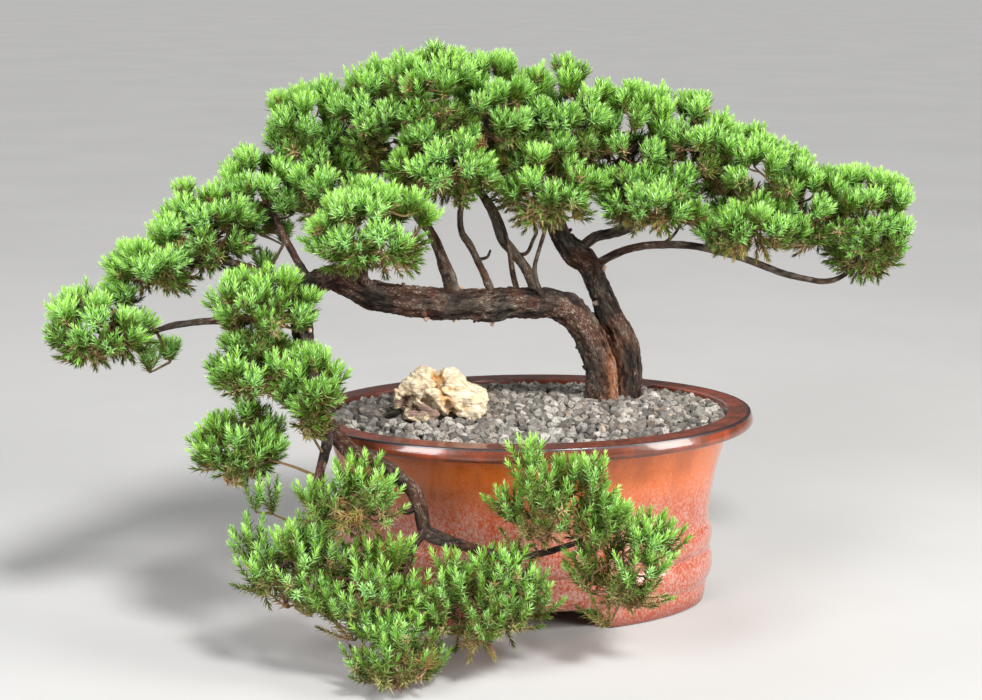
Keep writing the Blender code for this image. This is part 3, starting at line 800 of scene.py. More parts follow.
    def build(self, finish: GlazeFinish) -> None:
        """Model the bowl and dress it."""
        rings = []
        for inset, height in self.levels():
            scale = Matrix.Diagonal((self.length / 2 - inset, self.width / 2 - inset, 1.0, 1.0))
            rings.append(Matrix.Translation((self.centre.x, self.centre.y, height)) @ scale)
        bm = skin(rings, self.sides)
        top = self.underside - 0.001
        for vert in bm.verts:
            spot = vert.co - self.centre
            if spot.z < top:
                lift = self.gap_lift(spot.x, spot.y)
                vert.co.z = lift + spot.z * (top - lift) / top
            wobble = noise.noise(Vector((spot.x * 9.0, spot.y * 9.0, spot.z * 22.0)))
            out = Vector((spot.x, spot.y, 0.0)).normalized()
            vert.co -= out * 0.00035 * (wobble + 0.6) * min(1.0, spot.z / self.underside)
        pot = piece_from(bm, "glazed_pot", finish.material(self), ["pot"])
        self.drill(pot)

    def drill(self, pot: bpy.types.Object) -> None:
        """Cut the two drain holes through the floor."""
        for sign in (-1, 1):
            bm = bmesh.new()
            spot = self.centre + Vector((sign * self.drain_spacing / 2, 0.0, self.underside))
            bmesh.ops.create_cone(bm, cap_ends=True, segments=48, radius1=self.drain_radius,
                                  radius2=self.drain_radius, depth=4 * self.floor,
                                  matrix=Matrix.Translation(spot))
            mesh = bpy.data.meshes.new("drill")
            bm.to_mesh(mesh)
            bm.free()
            drill = bpy.data.objects.new("drill", mesh)
            bpy.context.scene.collection.objects.link(drill)
            step = pot.modifiers.new("drain", "BOOLEAN")
            step.operation = "DIFFERENCE"
            step.object = drill
            graph = bpy.context.evaluated_depsgraph_get()
            result = bpy.data.meshes.new_from_object(pot.evaluated_get(graph))
            pot.modifiers.remove(step)
            pot.data = result
            bpy.data.objects.remove(drill, do_unlink=True)


@dataclass
class Drainage:
    """The plastic mesh over each drain hole, and the wire that holds it."""

    pitch: float = 0.0026
    strand: float = 0.0010

    def build(self, plastic: PlainFinish, wire: PlainFinish) -> None:
        """Model both screens as a lattice and dress the clips."""
        finish = plastic.material()
        metal = wire.material()
        for side in ("left", "right"):
            low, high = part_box(f"drain_screen_{side}")
            middle = (low + high) / 2
            radius, thick = (high.x - low.x) / 2, high.z - low.z
            count = round(2 * radius / self.pitch)
            bm = bmesh.new()
            bmesh.ops.create_grid(bm, x_segments=count, y_segments=count, size=radius,
                                  matrix=Matrix.Translation(middle))
            far = [vert for vert in bm.verts if (vert.co - middle).length > radius - self.strand]
            bmesh.ops.delete(bm, geom=far, context="VERTS")
            bmesh.ops.wireframe(bm, faces=bm.faces[:], thickness=thick * 0.48, use_replace=True,
                                use_boundary=True, use_even_offset=True)
            bmesh.ops.recalc_face_normals(bm, faces=bm.faces[:])
            piece_from(bm, f"drain_mesh_{side}", finish, [f"drain_screen_{side}"],
                       smooth=False)
            dress_node(f"screen_clip_{side}", metal)


def dress_node(name: str, finish: bpy.types.Material) -> None:
    """Give a CAD node's own mesh a better material."""
    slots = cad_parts[name].material_slots
    for slot in slots:
        slot.material = finish
    if not slots:
        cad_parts[name].data.materials.append(finish)
    LOG.info("%s: dressed", name)


@dataclass
class Dressing:
    """The grit on the soil: crushed grains over a bed darkened as painted shade."""

    grain_map = "grain"
    spacing: float = 0.0052
    smallest: float = 0.0044
    largest: float = 0.0082
    shapes: int = 12
    bed_drop: float = 0.0060
    drops: tuple = (0.0060, 0.0028)
    # Grains whose middles lie deeper than this take only dark tones: painted shade between the grains.
    shade_depth: float = 0.0040
    seed: int = 11

    def grain_shape(self, rng: random.Random) -> bpy.types.Mesh:
        """One crushed grain about 1 across: a cube cut by planes.

        Args:
            rng: gives the planes.

        Returns:
            A mesh with a grain map.
        """
        bm = bmesh.new()
        bmesh.ops.create_cube(bm, size=1.0)
        for _ in range(9):
            way = Vector([rng.gauss(0.0, 1.0) for _ in range(3)]).normalized()
            cut = bmesh.ops.bisect_plane(bm, geom=bm.verts[:] + bm.edges[:] + bm.faces[:],
                                         plane_co=way * rng.uniform(0.38, 0.52), plane_no=way,
                                         clear_outer=True, dist=0.0001)
            edges = newest(cut["geom_cut"], bmesh.types.BMEdge)
            if edges:
                bmesh.ops.contextual_create(bm, geom=edges)
        bmesh.ops.remove_doubles(bm, verts=bm.verts[:], dist=0.04)
        bmesh.ops.recalc_face_normals(bm, faces=bm.faces[:])
        bm.loops.layers.uv.new(self.grain_map)
        mesh = bpy.data.meshes.new("grain")
        bm.to_mesh(mesh)
        bm.free()
        return mesh

    def build(self, pot: Pot, finish: GritFinish, keep_out: BVHTree) -> None:
        """Scatter the grains over the bed.

        Args:
            pot: not used.
            finish: the grit's finish.
            keep_out: the wood and the stone, which no grain lies inside.
        """
        rng = random.Random(self.seed)
        surface, _ = tree_of(["gravel"])
        low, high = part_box("gravel")
        bm = bmesh.new()
        bm.from_mesh(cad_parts["gravel"].data)
        bmesh.ops.remove_doubles(bm, verts=bm.verts[:], dist=1e-6)
        for vert in bm.verts:
            if vert.co.z > low.z + 0.4 * (high.z - low.z):
                vert.co.z -= self.bed_drop
        # The bed's grain map stays at zero, the darkest tone: painted shade under the grains.
        bm.loops.layers.uv.new(self.grain_map)
        shapes = [self.grain_shape(rng) for _ in range(self.shapes)]
        for layer, drop in enumerate(self.drops):
            row = 0
            gap = self.spacing * (1.12 - 0.12 * layer)
            spot_y = low.y
            while spot_y < high.y:
                spot_x = low.x + (row % 2) * gap / 2
                while spot_x < high.x:
                    spot = Vector((spot_x + rng.uniform(-0.4, 0.4) * self.spacing,
                                   spot_y + rng.uniform(-0.4, 0.4) * self.spacing, high.z + 0.01))
                    self.drop_grain(bm, rng, shapes, surface, keep_out, spot, drop)
                    spot_x += gap
                spot_y += gap * 0.87
                row += 1
        piece_from(bm, "grit_dressing", finish.material(), ["gravel"], smooth=False)

    def drop_grain(self, bm: bmesh.types.BMesh, rng: random.Random, shapes: list[bpy.types.Mesh],
                   surface: BVHTree, keep_out: BVHTree, spot: Vector, drop: float) -> None:
        """Lay one grain where a plumb line meets the grit's surface, if it meets it.

        Args:
            bm: the grit so far.
            rng: gives the grain's size, turn and colour.
            shapes: the grain shapes.
            surface: the CAD grit's surface.
            keep_out: what the grain may not lie in.
            spot: a place above the surface.
            drop: how far the grain's middle is below the surface.
        """
        hit, normal, _, _ = surface.ray_cast(spot, -UP)
        size = rng.uniform(self.smallest, self.largest) * rng.uniform(0.85, 1.0)
        tone, hue = rng.random(), rng.random()
        # Painted shade: grains of the lower layer take only dark tones.
        tone = 0.40 * tone if drop > self.shade_depth else 0.20 + 0.80 * tone
        turn = Matrix.Rotation(rng.uniform(0.0, math.tau), 4,
                               Vector([rng.gauss(0, 1) for _ in range(3)]))
        shape = shapes[rng.randrange(len(shapes))]
        if hit is None or normal.z < 0.5:
            return
        middle = hit - UP * drop
        near, _, _, distance = keep_out.find_nearest(middle, 0.4 * size)
        if near is not None and distance < 0.3 * size:
            return
        form = Matrix.Diagonal((size, size * rng.uniform(0.65, 0.95),
                                size * rng.uniform(0.55, 0.85), 1.0))
        stamp(bm, shape, Matrix.Translation(middle) @ turn @ form, self.grain_map, (tone, hue))


def stamp(bm: bmesh.types.BMesh, shape: bpy.types.Mesh, place: Matrix, layer: str = "",
          values: tuple[float, float] = (0.0, 0.0)) -> None:
    """Add a copy of a small mesh to a bmesh.

    Args:
        bm: the mesh that grows.
        shape: the small mesh, which is left as it was.
        place: where the copy goes.
        layer: a UV map that gets one value all over the copy, or nothing.
        values: that value.
    """
    rest = [0.0] * (3 * len(shape.vertices))
    shape.vertices.foreach_get("co", rest)
    if layer:
        shape.uv_layers[layer].uv.foreach_set("vector", list(values) * len(shape.loops))
    shape.transform(place)
    bm.from_mesh(shape, face_normals=False, vertex_normals=False)
    shape.vertices.foreach_set("co", rest)


class LumpKind(Enum):
    """What a lump of the stone starts from."""

    SLAB = "slab"
    KNOB = "knob"


@dataclass(frozen=True)
class Lump:
    """One lump, with its middle and half sizes as shares of the stone's box."""

    kind: LumpKind
    middle: tuple[float, float, float]
    half: tuple[float, float, float]
    lean: float = 0.0
    turn: float = 0.0


@dataclass
class AccentStone:
    """The layered stone: slabs and knobs grown together, with a hollow at its front left."""

    layer_dip: float = math.radians(24.0)
    layer_turn: float = math.radians(6.0)
    voxel: float = 0.0007
    lumps: tuple = (
        Lump(LumpKind.SLAB, (0.76, 0.40, 0.30), (0.22, 0.33, 0.22), 14.0, -10.0),
        Lump(LumpKind.SLAB, (0.78, 0.58, 0.56), (0.21, 0.32, 0.08), 24.0, 6.0),
        Lump(LumpKind.SLAB, (0.60, 0.26, 0.44), (0.19, 0.18, 0.06), 52.0, -8.0),
        Lump(LumpKind.KNOB, (0.61, 0.56, 0.70), (0.16, 0.34, 0.25), 24.0),
        Lump(LumpKind.SLAB, (0.66, 0.54, 0.70), (0.14, 0.26, 0.10), 34.0, 10.0),
        Lump(LumpKind.KNOB, (0.34, 0.56, 0.74), (0.14, 0.32, 0.25), -12.0),
        Lump(LumpKind.KNOB, (0.21, 0.50, 0.62), (0.13, 0.30, 0.20)),
        Lump(LumpKind.SLAB, (0.30, 0.44, 0.62), (0.10, 0.28, 0.10), -30.0, 10.0),
        Lump(LumpKind.SLAB, (0.48, 0.34, 0.46), (0.08, 0.26, 0.34), -38.0, 8.0),
        Lump(LumpKind.SLAB, (0.42, 0.40, 0.56), (0.07, 0.28, 0.28), -26.0, 14.0),
        Lump(LumpKind.SLAB, (0.33, 0.30, 0.28), (0.16, 0.20, 0.07), 36.0, -6.0),
        Lump(LumpKind.KNOB, (0.27, 0.58, 0.36), (0.22, 0.32, 0.30)),
        Lump(LumpKind.SLAB, (0.08, 0.42, 0.46), (0.045, 0.28, 0.20), 14.0, -24.0),
        Lump(LumpKind.SLAB, (0.27, 0.26, 0.12), (0.17, 0.19, 0.09), 6.0, -8.0),
        Lump(LumpKind.KNOB, (0.50, 0.64, 0.22), (0.42, 0.32, 0.23)),
    )
    hollow: tuple = ((0.22, 0.30), (0.25, 0.17))
    cleft: tuple = ((0.46, 0.86), (0.60, 0.14))

    def build(self, finish: RockFinish) -> None:
        """Model the stone inside its CAD box and dress it."""
        low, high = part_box("accent_stone")
        size = high - low
        bm = bmesh.new()
        for lump in self.lumps:
            turn = (Matrix.Rotation(math.radians(lump.turn), 4, "Z")
                    @ Matrix.Rotation(math.radians(lump.lean), 4, "Y"))
            spot = low + Vector([part * whole for part, whole in zip(lump.middle, size)])
            form = Matrix.Diagonal((*[part * whole for part, whole in zip(lump.half, size)], 1.0))
            place = Matrix.Translation(spot) @ turn @ form
            if lump.kind is LumpKind.SLAB:
                bmesh.ops.create_cube(bm, size=1.9, matrix=place)
            else:
                bmesh.ops.create_icosphere(bm, subdivisions=3, radius=1.0, matrix=place)
        mesh = bpy.data.meshes.new("stone_lumps")
        bm.to_mesh(mesh)
        bm.free()
        lumps = bpy.data.objects.new("stone_lumps", mesh)
        bpy.context.scene.collection.objects.link(lumps)
        remesh = lumps.modifiers.new("grown_together", "REMESH")
        remesh.mode = "VOXEL"
        remesh.voxel_size = self.voxel
        graph = bpy.context.evaluated_depsgraph_get()
        joined = bpy.data.meshes.new_from_object(lumps.evaluated_get(graph))
        bpy.data.objects.remove(lumps, do_unlink=True)
        bm = bmesh.new()
        bm.from_mesh(joined)
        bpy.data.meshes.remove(joined)
        for _ in range(3):
            bmesh.ops.smooth_vert(bm, verts=bm.verts[:], factor=0.5, use_axis_x=True,
                                  use_axis_y=True, use_axis_z=True)
        self.weather(bm, low, size)
        piece_from(bm, "layered_stone", finish.material(self), ["accent_stone"])

    def weather(self, bm: bmesh.types.BMesh, low: Vector, size: Vector) -> None:
        """Press the layers, chips and cleft into the stone, and mark them for its finish.

        Args:
            bm: the stone.
            low: the lowest corner of its box.
            size: its box's size.
        """
        marks = bm.verts.layers.float_vector.new("marks")
        layers = Matrix.Rotation(self.layer_turn, 3, "Z") @ Matrix.Rotation(self.layer_dip, 3, "Y")
        flat = layers.inverted()
        bm.normal_update()
        scoop, reach = self.hollow
        start, end = Vector(self.cleft[0]), Vector(self.cleft[1])
        run = end - start
        moves = []
        for vert in bm.verts:
            share = Vector([part / whole for part, whole in zip(vert.co - low, size)])
            spot = flat @ (vert.co - low)
            bend = 0.0020 * noise.noise(spot * 100.0)
            step = noise.noise(Vector((spot.x * 50.0, spot.y * 50.0, (spot.z + bend) * 430.0)))
            fine = noise.noise(Vector((spot.x * 120.0, spot.y * 120.0, (spot.z + bend) * 1300.0)))
            lump = noise.fractal(spot * 150.0, 0.9, 2.1, 4)
            chips = noise.voronoi((spot + 0.001 * noise.noise_vector(spot * 300.0)) * 150.0)[0]
            chip = min(1.0, (chips[1] - chips[0]) * 3.0)
            fall = share.z + 0.75 * (share.x - scoop[0])
            deep = ((share.x - scoop[0]) / reach[0]) ** 2 + ((fall - scoop[1]) / reach[1]) ** 2
            hole = max(0.0, 0.9 - deep + 1.7 * lump) if share.y < 0.55 else 0.0
            along = Vector((share.x, share.z)) - start
            part = min(1.0, max(0.0, along.dot(run) / run.length_squared))
            aside = (along - run * part).length
            cleft = math.exp(-(aside / 0.055) ** 2) * (1.0 if share.y < 0.6 else 0.0)
            height = (0.0008 * step + 0.0005 * fine + 0.0016 * lump + 0.0010 * (chip - 0.6)
                      - 0.0030 * cleft)
            moves.append((vert, vert.normal * height + Vector((0.0, 0.0010 * hole, 0.0))))
            # The marks carry the relief height, which the finish darkens as painted shade where low, the
            # hollow, which it fills with painted shade, and the cleft.
            vert[marks] = (0.5 + 130.0 * (height + 0.0012 * cleft), min(1.0, 2.2 * hole), cleft)
        high = low + size
        for vert, move in moves:
            vert.co += move
            for axis in range(3):
                vert.co[axis] = min(high[axis], max(low[axis], vert.co[axis]))


# ---------------------------------------------------------------- the wood


@dataclass
class Limb:
    """One limb: its centre line, drawn in millimetres from the pot's middle, and its bark."""

    name: str
    route: Route
    sides: int = 20
    step: float = 0.0014
    roughness: float = 1.0
    fluting: float = 0.0
    seed: float = 0.0
    root: float = 0.0

    def line(self, pot: Pot) -> list[tuple[float, float, float, float]]:
        """The centre line in the frame, with its radii.

        Args:
            pot: gives the middle that the line is drawn from.

        Returns:
            Points of x, y, z and radius.
        """
        points = [(pot.centre.x + x * MM, pot.centre.y + y * MM, z * MM, radius * MM)
                  for x, y, z, radius in self.route]
        if self.root:
            x, y, z, radius = points[0]
            points.insert(0, (x, y, z - self.root, radius * 0.8))
        return points

    def skin(self, pot: Pot) -> bmesh.types.BMesh:
        """The limb with its bark raised.

        Args:
            pot: gives the middle that the line is drawn from.

        Returns:
            The mesh, with the layers that the bark finish reads.
        """
        places = ring_places(smooth_route(self.line(pot), self.step))
        bm = skin(places, self.sides, "limb")
        limb = bm.verts.layers.float_vector["limb"]
        marks = bm.verts.layers.float_vector.new("marks")
        bm.normal_update()
        offset = Vector((self.seed * 3.1, self.seed * 1.7, 0.0))
        moves = []
        for vert in bm.verts:
            around_x, around_y, along = vert[limb]
            radius = math.hypot(around_x, around_y)
            spot = Vector((around_x, around_y, along))
            ropes = noise.noise(Vector((around_x * 95.0, around_y * 95.0, along * 12.0)) + offset)
            strips = noise.fractal(Vector((spot.x * 240.0, spot.y * 240.0, spot.z * 60.0)) + offset,
                                   0.8, 2.1, 4)
            bent = spot + 0.0016 * noise.noise_vector(spot * 260.0 + offset)
            reach, cells = noise.voronoi(
                Vector((bent.x * 330.0, bent.y * 330.0, bent.z * 130.0)) + offset)
            flake = min(1.0, (reach[1] - reach[0]) * 2.6) * (0.55 + 0.45 * noise.cell(cells[0] * 9.7))
            knots = max(0.0, noise.noise(spot * 55.0 + offset) - 0.22)
            high = min(1.0, max(0.0, 0.36 + 0.30 * strips + 0.42 * flake + 0.15 * ropes))
            height = (radius * (self.fluting * ropes + 0.45 * knots)
                      + min(0.0030, 0.34 * radius) * (high - 0.5))
            moves.append((vert, vert.normal * height * self.roughness))
            vert[marks] = (high, 0.0, 0.0)
        for vert, move in moves:
            vert.co += move
        return bm


@dataclass
class Wood:
    """The twin trunk and its limbs."""

    trunk_sides: int = 80
    stubs: int = 34
    seed: int = 5

    left_trunk = (
        (53, 15, 126, 13.5), (53, 15, 136, 11.5), (50, 12, 154, 10.5), (43, 8, 173, 10.3),
        (33, 4, 191, 10.3), (17, 0, 203, 10.3), (-8, -8, 207, 10.2), (-36, -16, 208, 10.0),
        (-63, -25, 210, 10.0), (-86, -33, 214, 9.8), (-106, -40, 219, 9.5), (-121, -46, 227, 8.8),
        (-132, -51, 233, 8.0), (-142, -57, 232, 7.6), (-150, -62, 227, 7.4), (-153, -64, 216, 7.0),
        (-152, -66, 198, 6.2), (-150, -67, 180, 5.7), (-146, -68, 162, 5.5), (-140, -68, 147, 5.3),
        (-134, -71, 137, 5.0),
    )
    right_trunk = (
        (68, 20, 126, 12.0), (69, 21, 140, 10.6), (70, 21, 155, 10.0), (67, 22, 173, 9.4),
        (59, 23, 189, 8.5), (52, 24, 206, 7.8), (43, 25, 225, 7.5), (34, 25, 233, 8.4),
        (25, 25, 243, 6.8), (20, 25, 257, 6.0), (21, 23, 274, 5.4), (26, 20, 294, 4.4),
        (26, 14, 312, 3.4), (20, 6, 326, 2.4),
    )
    branches = {
        "low_right_branch": (
            (43, 25, 222, 3.0), (59, 24, 232, 2.8), (75, 21, 238, 2.7), (92, 17, 240, 2.7),
            (116, 13, 239, 2.6), (144, 8, 232, 2.5), (178, 4, 220, 2.2), (205, 2, 216, 1.9),
            (222, 3, 226, 1.5), (228, 4, 244, 1.2),
        ),
        "high_right_branch": (
            (34, 25, 234, 3.6), (48, 28, 244, 3.3), (65, 31, 247, 3.1), (77, 33, 251, 3.0),
            (89, 34, 255, 3.0), (103, 34, 256, 2.8), (121, 30, 252, 2.5), (145, 22, 252, 2.1),
            (163, 12, 260, 1.8), (183, 4, 270, 1.4),
        ),
        "crown_right_branch": (
            (21, 24, 262, 3.0), (36, 22, 276, 2.8), (53, 16, 290, 2.5), (68, 11, 305, 2.1),
            (84, 7, 314, 1.7), (102, 3, 316, 1.3),
        ),
        "back_crown_branch": (
            (21, 23, 270, 2.6), (18, 36, 284, 2.4), (12, 48, 300, 2.0), (6, 54, 314, 1.5),
        ),
        "first_stem": (
            (-52, -20, 208, 5.4), (-58, -18, 230, 4.2), (-63, -15, 244, 3.5), (-68, -12, 255, 3.2),
            (-76, -8, 265, 2.9), (-85, -3, 281, 2.6), (-98, 2, 300, 2.3), (-118, 4, 316, 1.9),
            (-143, 5, 322, 1.4),
        ),
        "second_stem": (
            (-26, -13, 208, 2.9), (-32, -11, 225, 2.5), (-38, -9, 238, 2.3), (-42, -8, 246, 2.1),
            (-47, -6, 254, 1.9), (-48, -4, 266, 1.8), (-46, -2, 281, 1.7), (-54, -14, 300, 1.5),
            (-66, -22, 330, 1.2),
        ),
        "third_stem": (
            (-8, -7, 208, 2.2), (-13, -8, 225, 1.9), (-16, -10, 241, 1.6), (-20, -11, 257, 1.5),
            (-24, -12, 267, 1.3),
        ),
        "fourth_stem": (
            (7, -1, 206, 4.0), (-3, 2, 227, 3.5), (-12, 4, 239, 3.3), (-19, 5, 248, 3.3),
            (-24, 6, 264, 3.2), (-31, 8, 275, 2.9), (-37, 10, 286, 2.6), (-35, 12, 304, 2.2),
            (-28, 4, 330, 1.5),
        ),
        "fifth_stem": (
            (9, -10, 206, 2.0), (2, -14, 221, 1.6), (0, -16, 232, 1.5), (3, -18, 245, 1.4),
            (6, -20, 257, 1.3), (7, -24, 270, 1.2), (6, -28, 284, 1.0),
        ),
        "back_left_branch": (
            (-33, 9, 279, 2.5), (-46, 22, 290, 2.3), (-62, 36, 303, 1.9), (-80, 48, 318, 1.4),
        ),
        "left_branch": (
            (-144, -58, 230, 3.2), (-160, -52, 232, 2.8), (-177, -47, 237, 2.6), (-200, -44, 243, 2.3),
            (-221, -49, 243, 2.0), (-243, -52, 243, 1.6),
        ),
        "left_low_branch": (
            (-152, -65, 214, 2.6), (-176, -60, 209, 2.4), (-204, -56, 208, 2.2), (-231, -58, 206, 1.9),
            (-258, -60, 199, 1.6), (-280, -62, 204, 1.2),
        ),
        "left_crown_branch": (
            (-147, -56, 231, 2.8), (-157, -38, 246, 2.4), (-168, -20, 266, 2.0), (-178, -7, 284, 1.5),
        ),
        "front_branch": (
            (-110, -43, 222, 3.4), (-114, -56, 234, 3.0), (-113, -67, 246, 2.6), (-110, -77, 257, 2.1),
            (-107, -85, 270, 1.5),
        ),
        "cascade_branch": (
            (-137, -70, 142, 5.0), (-125, -84, 130, 4.9), (-107, -100, 125, 4.8), (-96, -111, 118, 4.7),
            (-88, -117, 112, 4.5), (-84, -122, 102, 4.4), (-81, -127, 89, 4.3), (-70, -132, 85, 3.6),
            (-58, -135, 82, 3.2), (-37, -138, 76, 2.7), (-13, -140, 77, 2.2), (12, -140, 84, 1.6),
        ),
        "cascade_drop": (
            (-137, -73, 139, 3.6), (-141, -92, 129, 3.2), (-144, -101, 121, 2.9), (-146, -107, 113, 2.7),
            (-149, -114, 102, 2.3), (-155, -121, 87, 1.8), (-160, -126, 76, 1.3),
        ),
        "cascade_fork": (
            (-81, -128, 90, 3.2), (-89, -131, 82, 2.9), (-93, -135, 72, 2.5), (-99, -142, 58, 2.0),
            (-101, -152, 42, 1.6), (-102, -162, 28, 1.2),
        ),
    }

    side_twigs = {
        "fourth_stem": ((-11, 4, 237, 1.5), (-3, 2, 238, 1.4), (1, 0, 247, 1.2), (3, -2, 253, 1.1),
                        (1, -4, 258, 0.8)),
        "second_stem": ((-37, -9, 236, 1.3), (-31, -12, 238, 1.1), (-29, -14, 243, 0.8)),
        "cascade_branch": ((-84, -120, 104, 2.0), (-92, -125, 101, 1.7), (-97, -127, 104, 1.2)),
        "low_right_branch": ((92, 17, 240, 1.3), (99, 14, 247, 1.1), (104, 12, 256, 0.8)),
    }

    def limbs(self) -> list[Limb]:
        """Every limb but the trunk.

        Returns:
            The limbs, in growing order.
        """
        return [Limb(name, route, seed=index + 1.0) for index, (name, route)
                in enumerate(self.branches.items())]

    def trunks(self) -> list[Limb]:
        """Both stems of the trunk.

        Returns:
            The left and the right stem.
        """
        common = {"sides": self.trunk_sides, "step": 0.0012, "fluting": 0.13, "root": 0.018}
        return [Limb("left_trunk", self.left_trunk, seed=20.0, **common),
                Limb("right_trunk", self.right_trunk, seed=31.0, **common)]

    def lines(self, pot: Pot) -> list[list[Vector]]:
        """Every centre line, for the twigs to grow from.

        Args:
            pot: gives the middle that the lines are drawn from.

        Returns:
            Points of x, y, z and radius, 4 mm apart, for each limb.
        """
        return [smooth_route(limb.line(pot), 0.004) for limb in self.trunks() + self.limbs()]

    def build(self, pot: Pot, trunk_finish: BarkFinish, branch_finish: BarkFinish) -> None:
        """Model and dress the trunk and the limbs.

        Args:
            pot: gives the middle that the limbs are drawn from.
            trunk_finish: the old bark.
            branch_finish: the younger bark.
        """
        rng = random.Random(self.seed)
        trunk = bmesh.new()
        for stem in self.trunks():
            self.graft(trunk, stem.skin(pot))
        self.add_stubs(trunk, rng)
        self.mark_cleft(trunk, pot)
        piece_from(trunk, "twin_trunk", trunk_finish.material(), ["trunk"])
        bark = branch_finish.material()
        dark = trunk_finish.material()
        for limb in self.limbs():
            grown = limb.skin(pot)
            if limb.name in self.side_twigs:
                self.graft(grown, Limb("twig", self.side_twigs[limb.name], sides=10, seed=9.0).skin(pot))
            finish = dark if limb.name.startswith(("cascade", "left", "front")) else bark
            piece_from(grown, f"{limb.name}_bark", finish, [limb.name])

    @staticmethod
    def graft(onto: bmesh.types.BMesh, part: bmesh.types.BMesh) -> None:
        """Add one limb's mesh to another's and use it up."""
        mesh = bpy.data.meshes.new("graft")
        part.to_mesh(mesh)
        part.free()
        onto.from_mesh(mesh)
        bpy.data.meshes.remove(mesh)

    def add_stubs(self, bm: bmesh.types.BMesh, rng: random.Random) -> None:
        """Set cut-off twigs into the trunk, with pale ends.

        Args:
            bm: the trunk.
            rng: picks their places and sizes.
        """
        marks = bm.verts.layers.float_vector["marks"]
        bm.verts.ensure_lookup_table()
        seats = [vert for vert in bm.verts if vert.co.z > 0.15]
        for seat in rng.sample(seats, self.stubs):
            radius = rng.uniform(0.0007, 0.0016)
            way = (seat.normal + Vector([rng.gauss(0, 0.35) for _ in range(3)])).normalized()
            turn = way.to_track_quat("Z", "Y").to_matrix().to_4x4()
            place = Matrix.Translation(seat.co + way * 0.0006) @ turn
            made = bmesh.ops.create_cone(bm, cap_ends=True, segments=9, radius1=radius * 1.5,
                                         radius2=radius, depth=rng.uniform(0.0028, 0.0052),
                                         matrix=place)["verts"]
            inverse = place.inverted()
            pale = 1.0 if rng.random() < 0.45 else 0.0
            for vert in made:
                top = (inverse @ vert.co).z > 0.0
                vert[marks] = (0.6, pale if top else 0.0, 0.0)

    @staticmethod
    def mark_cleft(bm: bmesh.types.BMesh, pot: Pot) -> None:
        """Mark the peeled, red-brown cleft between the two stems at their foot."""
        marks = bm.verts.layers.float_vector["marks"]
        for vert in bm.verts:
            spot = vert.co - pot.centre
            if spot.z < 0.200 and spot.y < 0.03:
                middle = 0.0600 - 0.004 * (spot.z - 0.125) / 0.06
                near = math.exp(-((spot.x - middle) / 0.0058) ** 2)
                fade = min(1.0, max(0.0, (0.190 - spot.z) / 0.03))
                high, pale, _ = vert[marks]
                vert[marks] = (high, pale, near * fade)


# ---------------------------------------------------------------- the foliage


class Tone(Enum):
    """Where in the needle palette a sprig takes its colour."""

    TWIG = 0.03
    DEAD = 0.16
    OLD = 0.31
    SHADE = 0.46
    LEAF = 0.64
    BRIGHT = 0.82
    TIP = 0.95


@dataclass(frozen=True)
class Growth:
    """How the tufts of a pad grow, with lengths in millimetres."""

    spacing: float
    shoots: int
    fan: float
    upright: float
    outward: float
    reach: float
    proud: tuple[float, float]
    roam: float = 4.0
    bare_share: float = 0.0
    step: float = 4.9
    # kinds: the sprigs from a shoot's base to its tip with their tone shifts; the darker ones nearer the
    # base are partly older needles and partly painted shade inside the pad.
    kinds: tuple = (("middle", -0.27), ("middle", -0.12), ("young", 0.04))


class Habit(Enum):
    """The ways that a pad's tufts stand."""

    CROWN = Growth(16.0, 13, 36.0, 0.75, 0.70, 20.0, (-4.0, 4.0))
    SIDE = Growth(15.5, 12, 40.0, 0.60, 0.85, 19.0, (-4.0, 4.0))
    BACK = Growth(18.5, 12, 38.0, 0.75, 0.70, 20.0, (-4.0, 4.0))
    CASCADE = Growth(14.0, 9, 38.0, 0.75, 0.70, 19.0, (-5.0, 3.0), 6.0, 0.06)
    SKIRT = Growth(10.5, 5, 42.0, 0.75, 0.60, 19.0, (-5.0, 3.5), 12.0, 0.27, 5.8,
                   (("stiff", -0.24), ("stiff", -0.13), ("stiff", -0.03), ("young", 0.13)))


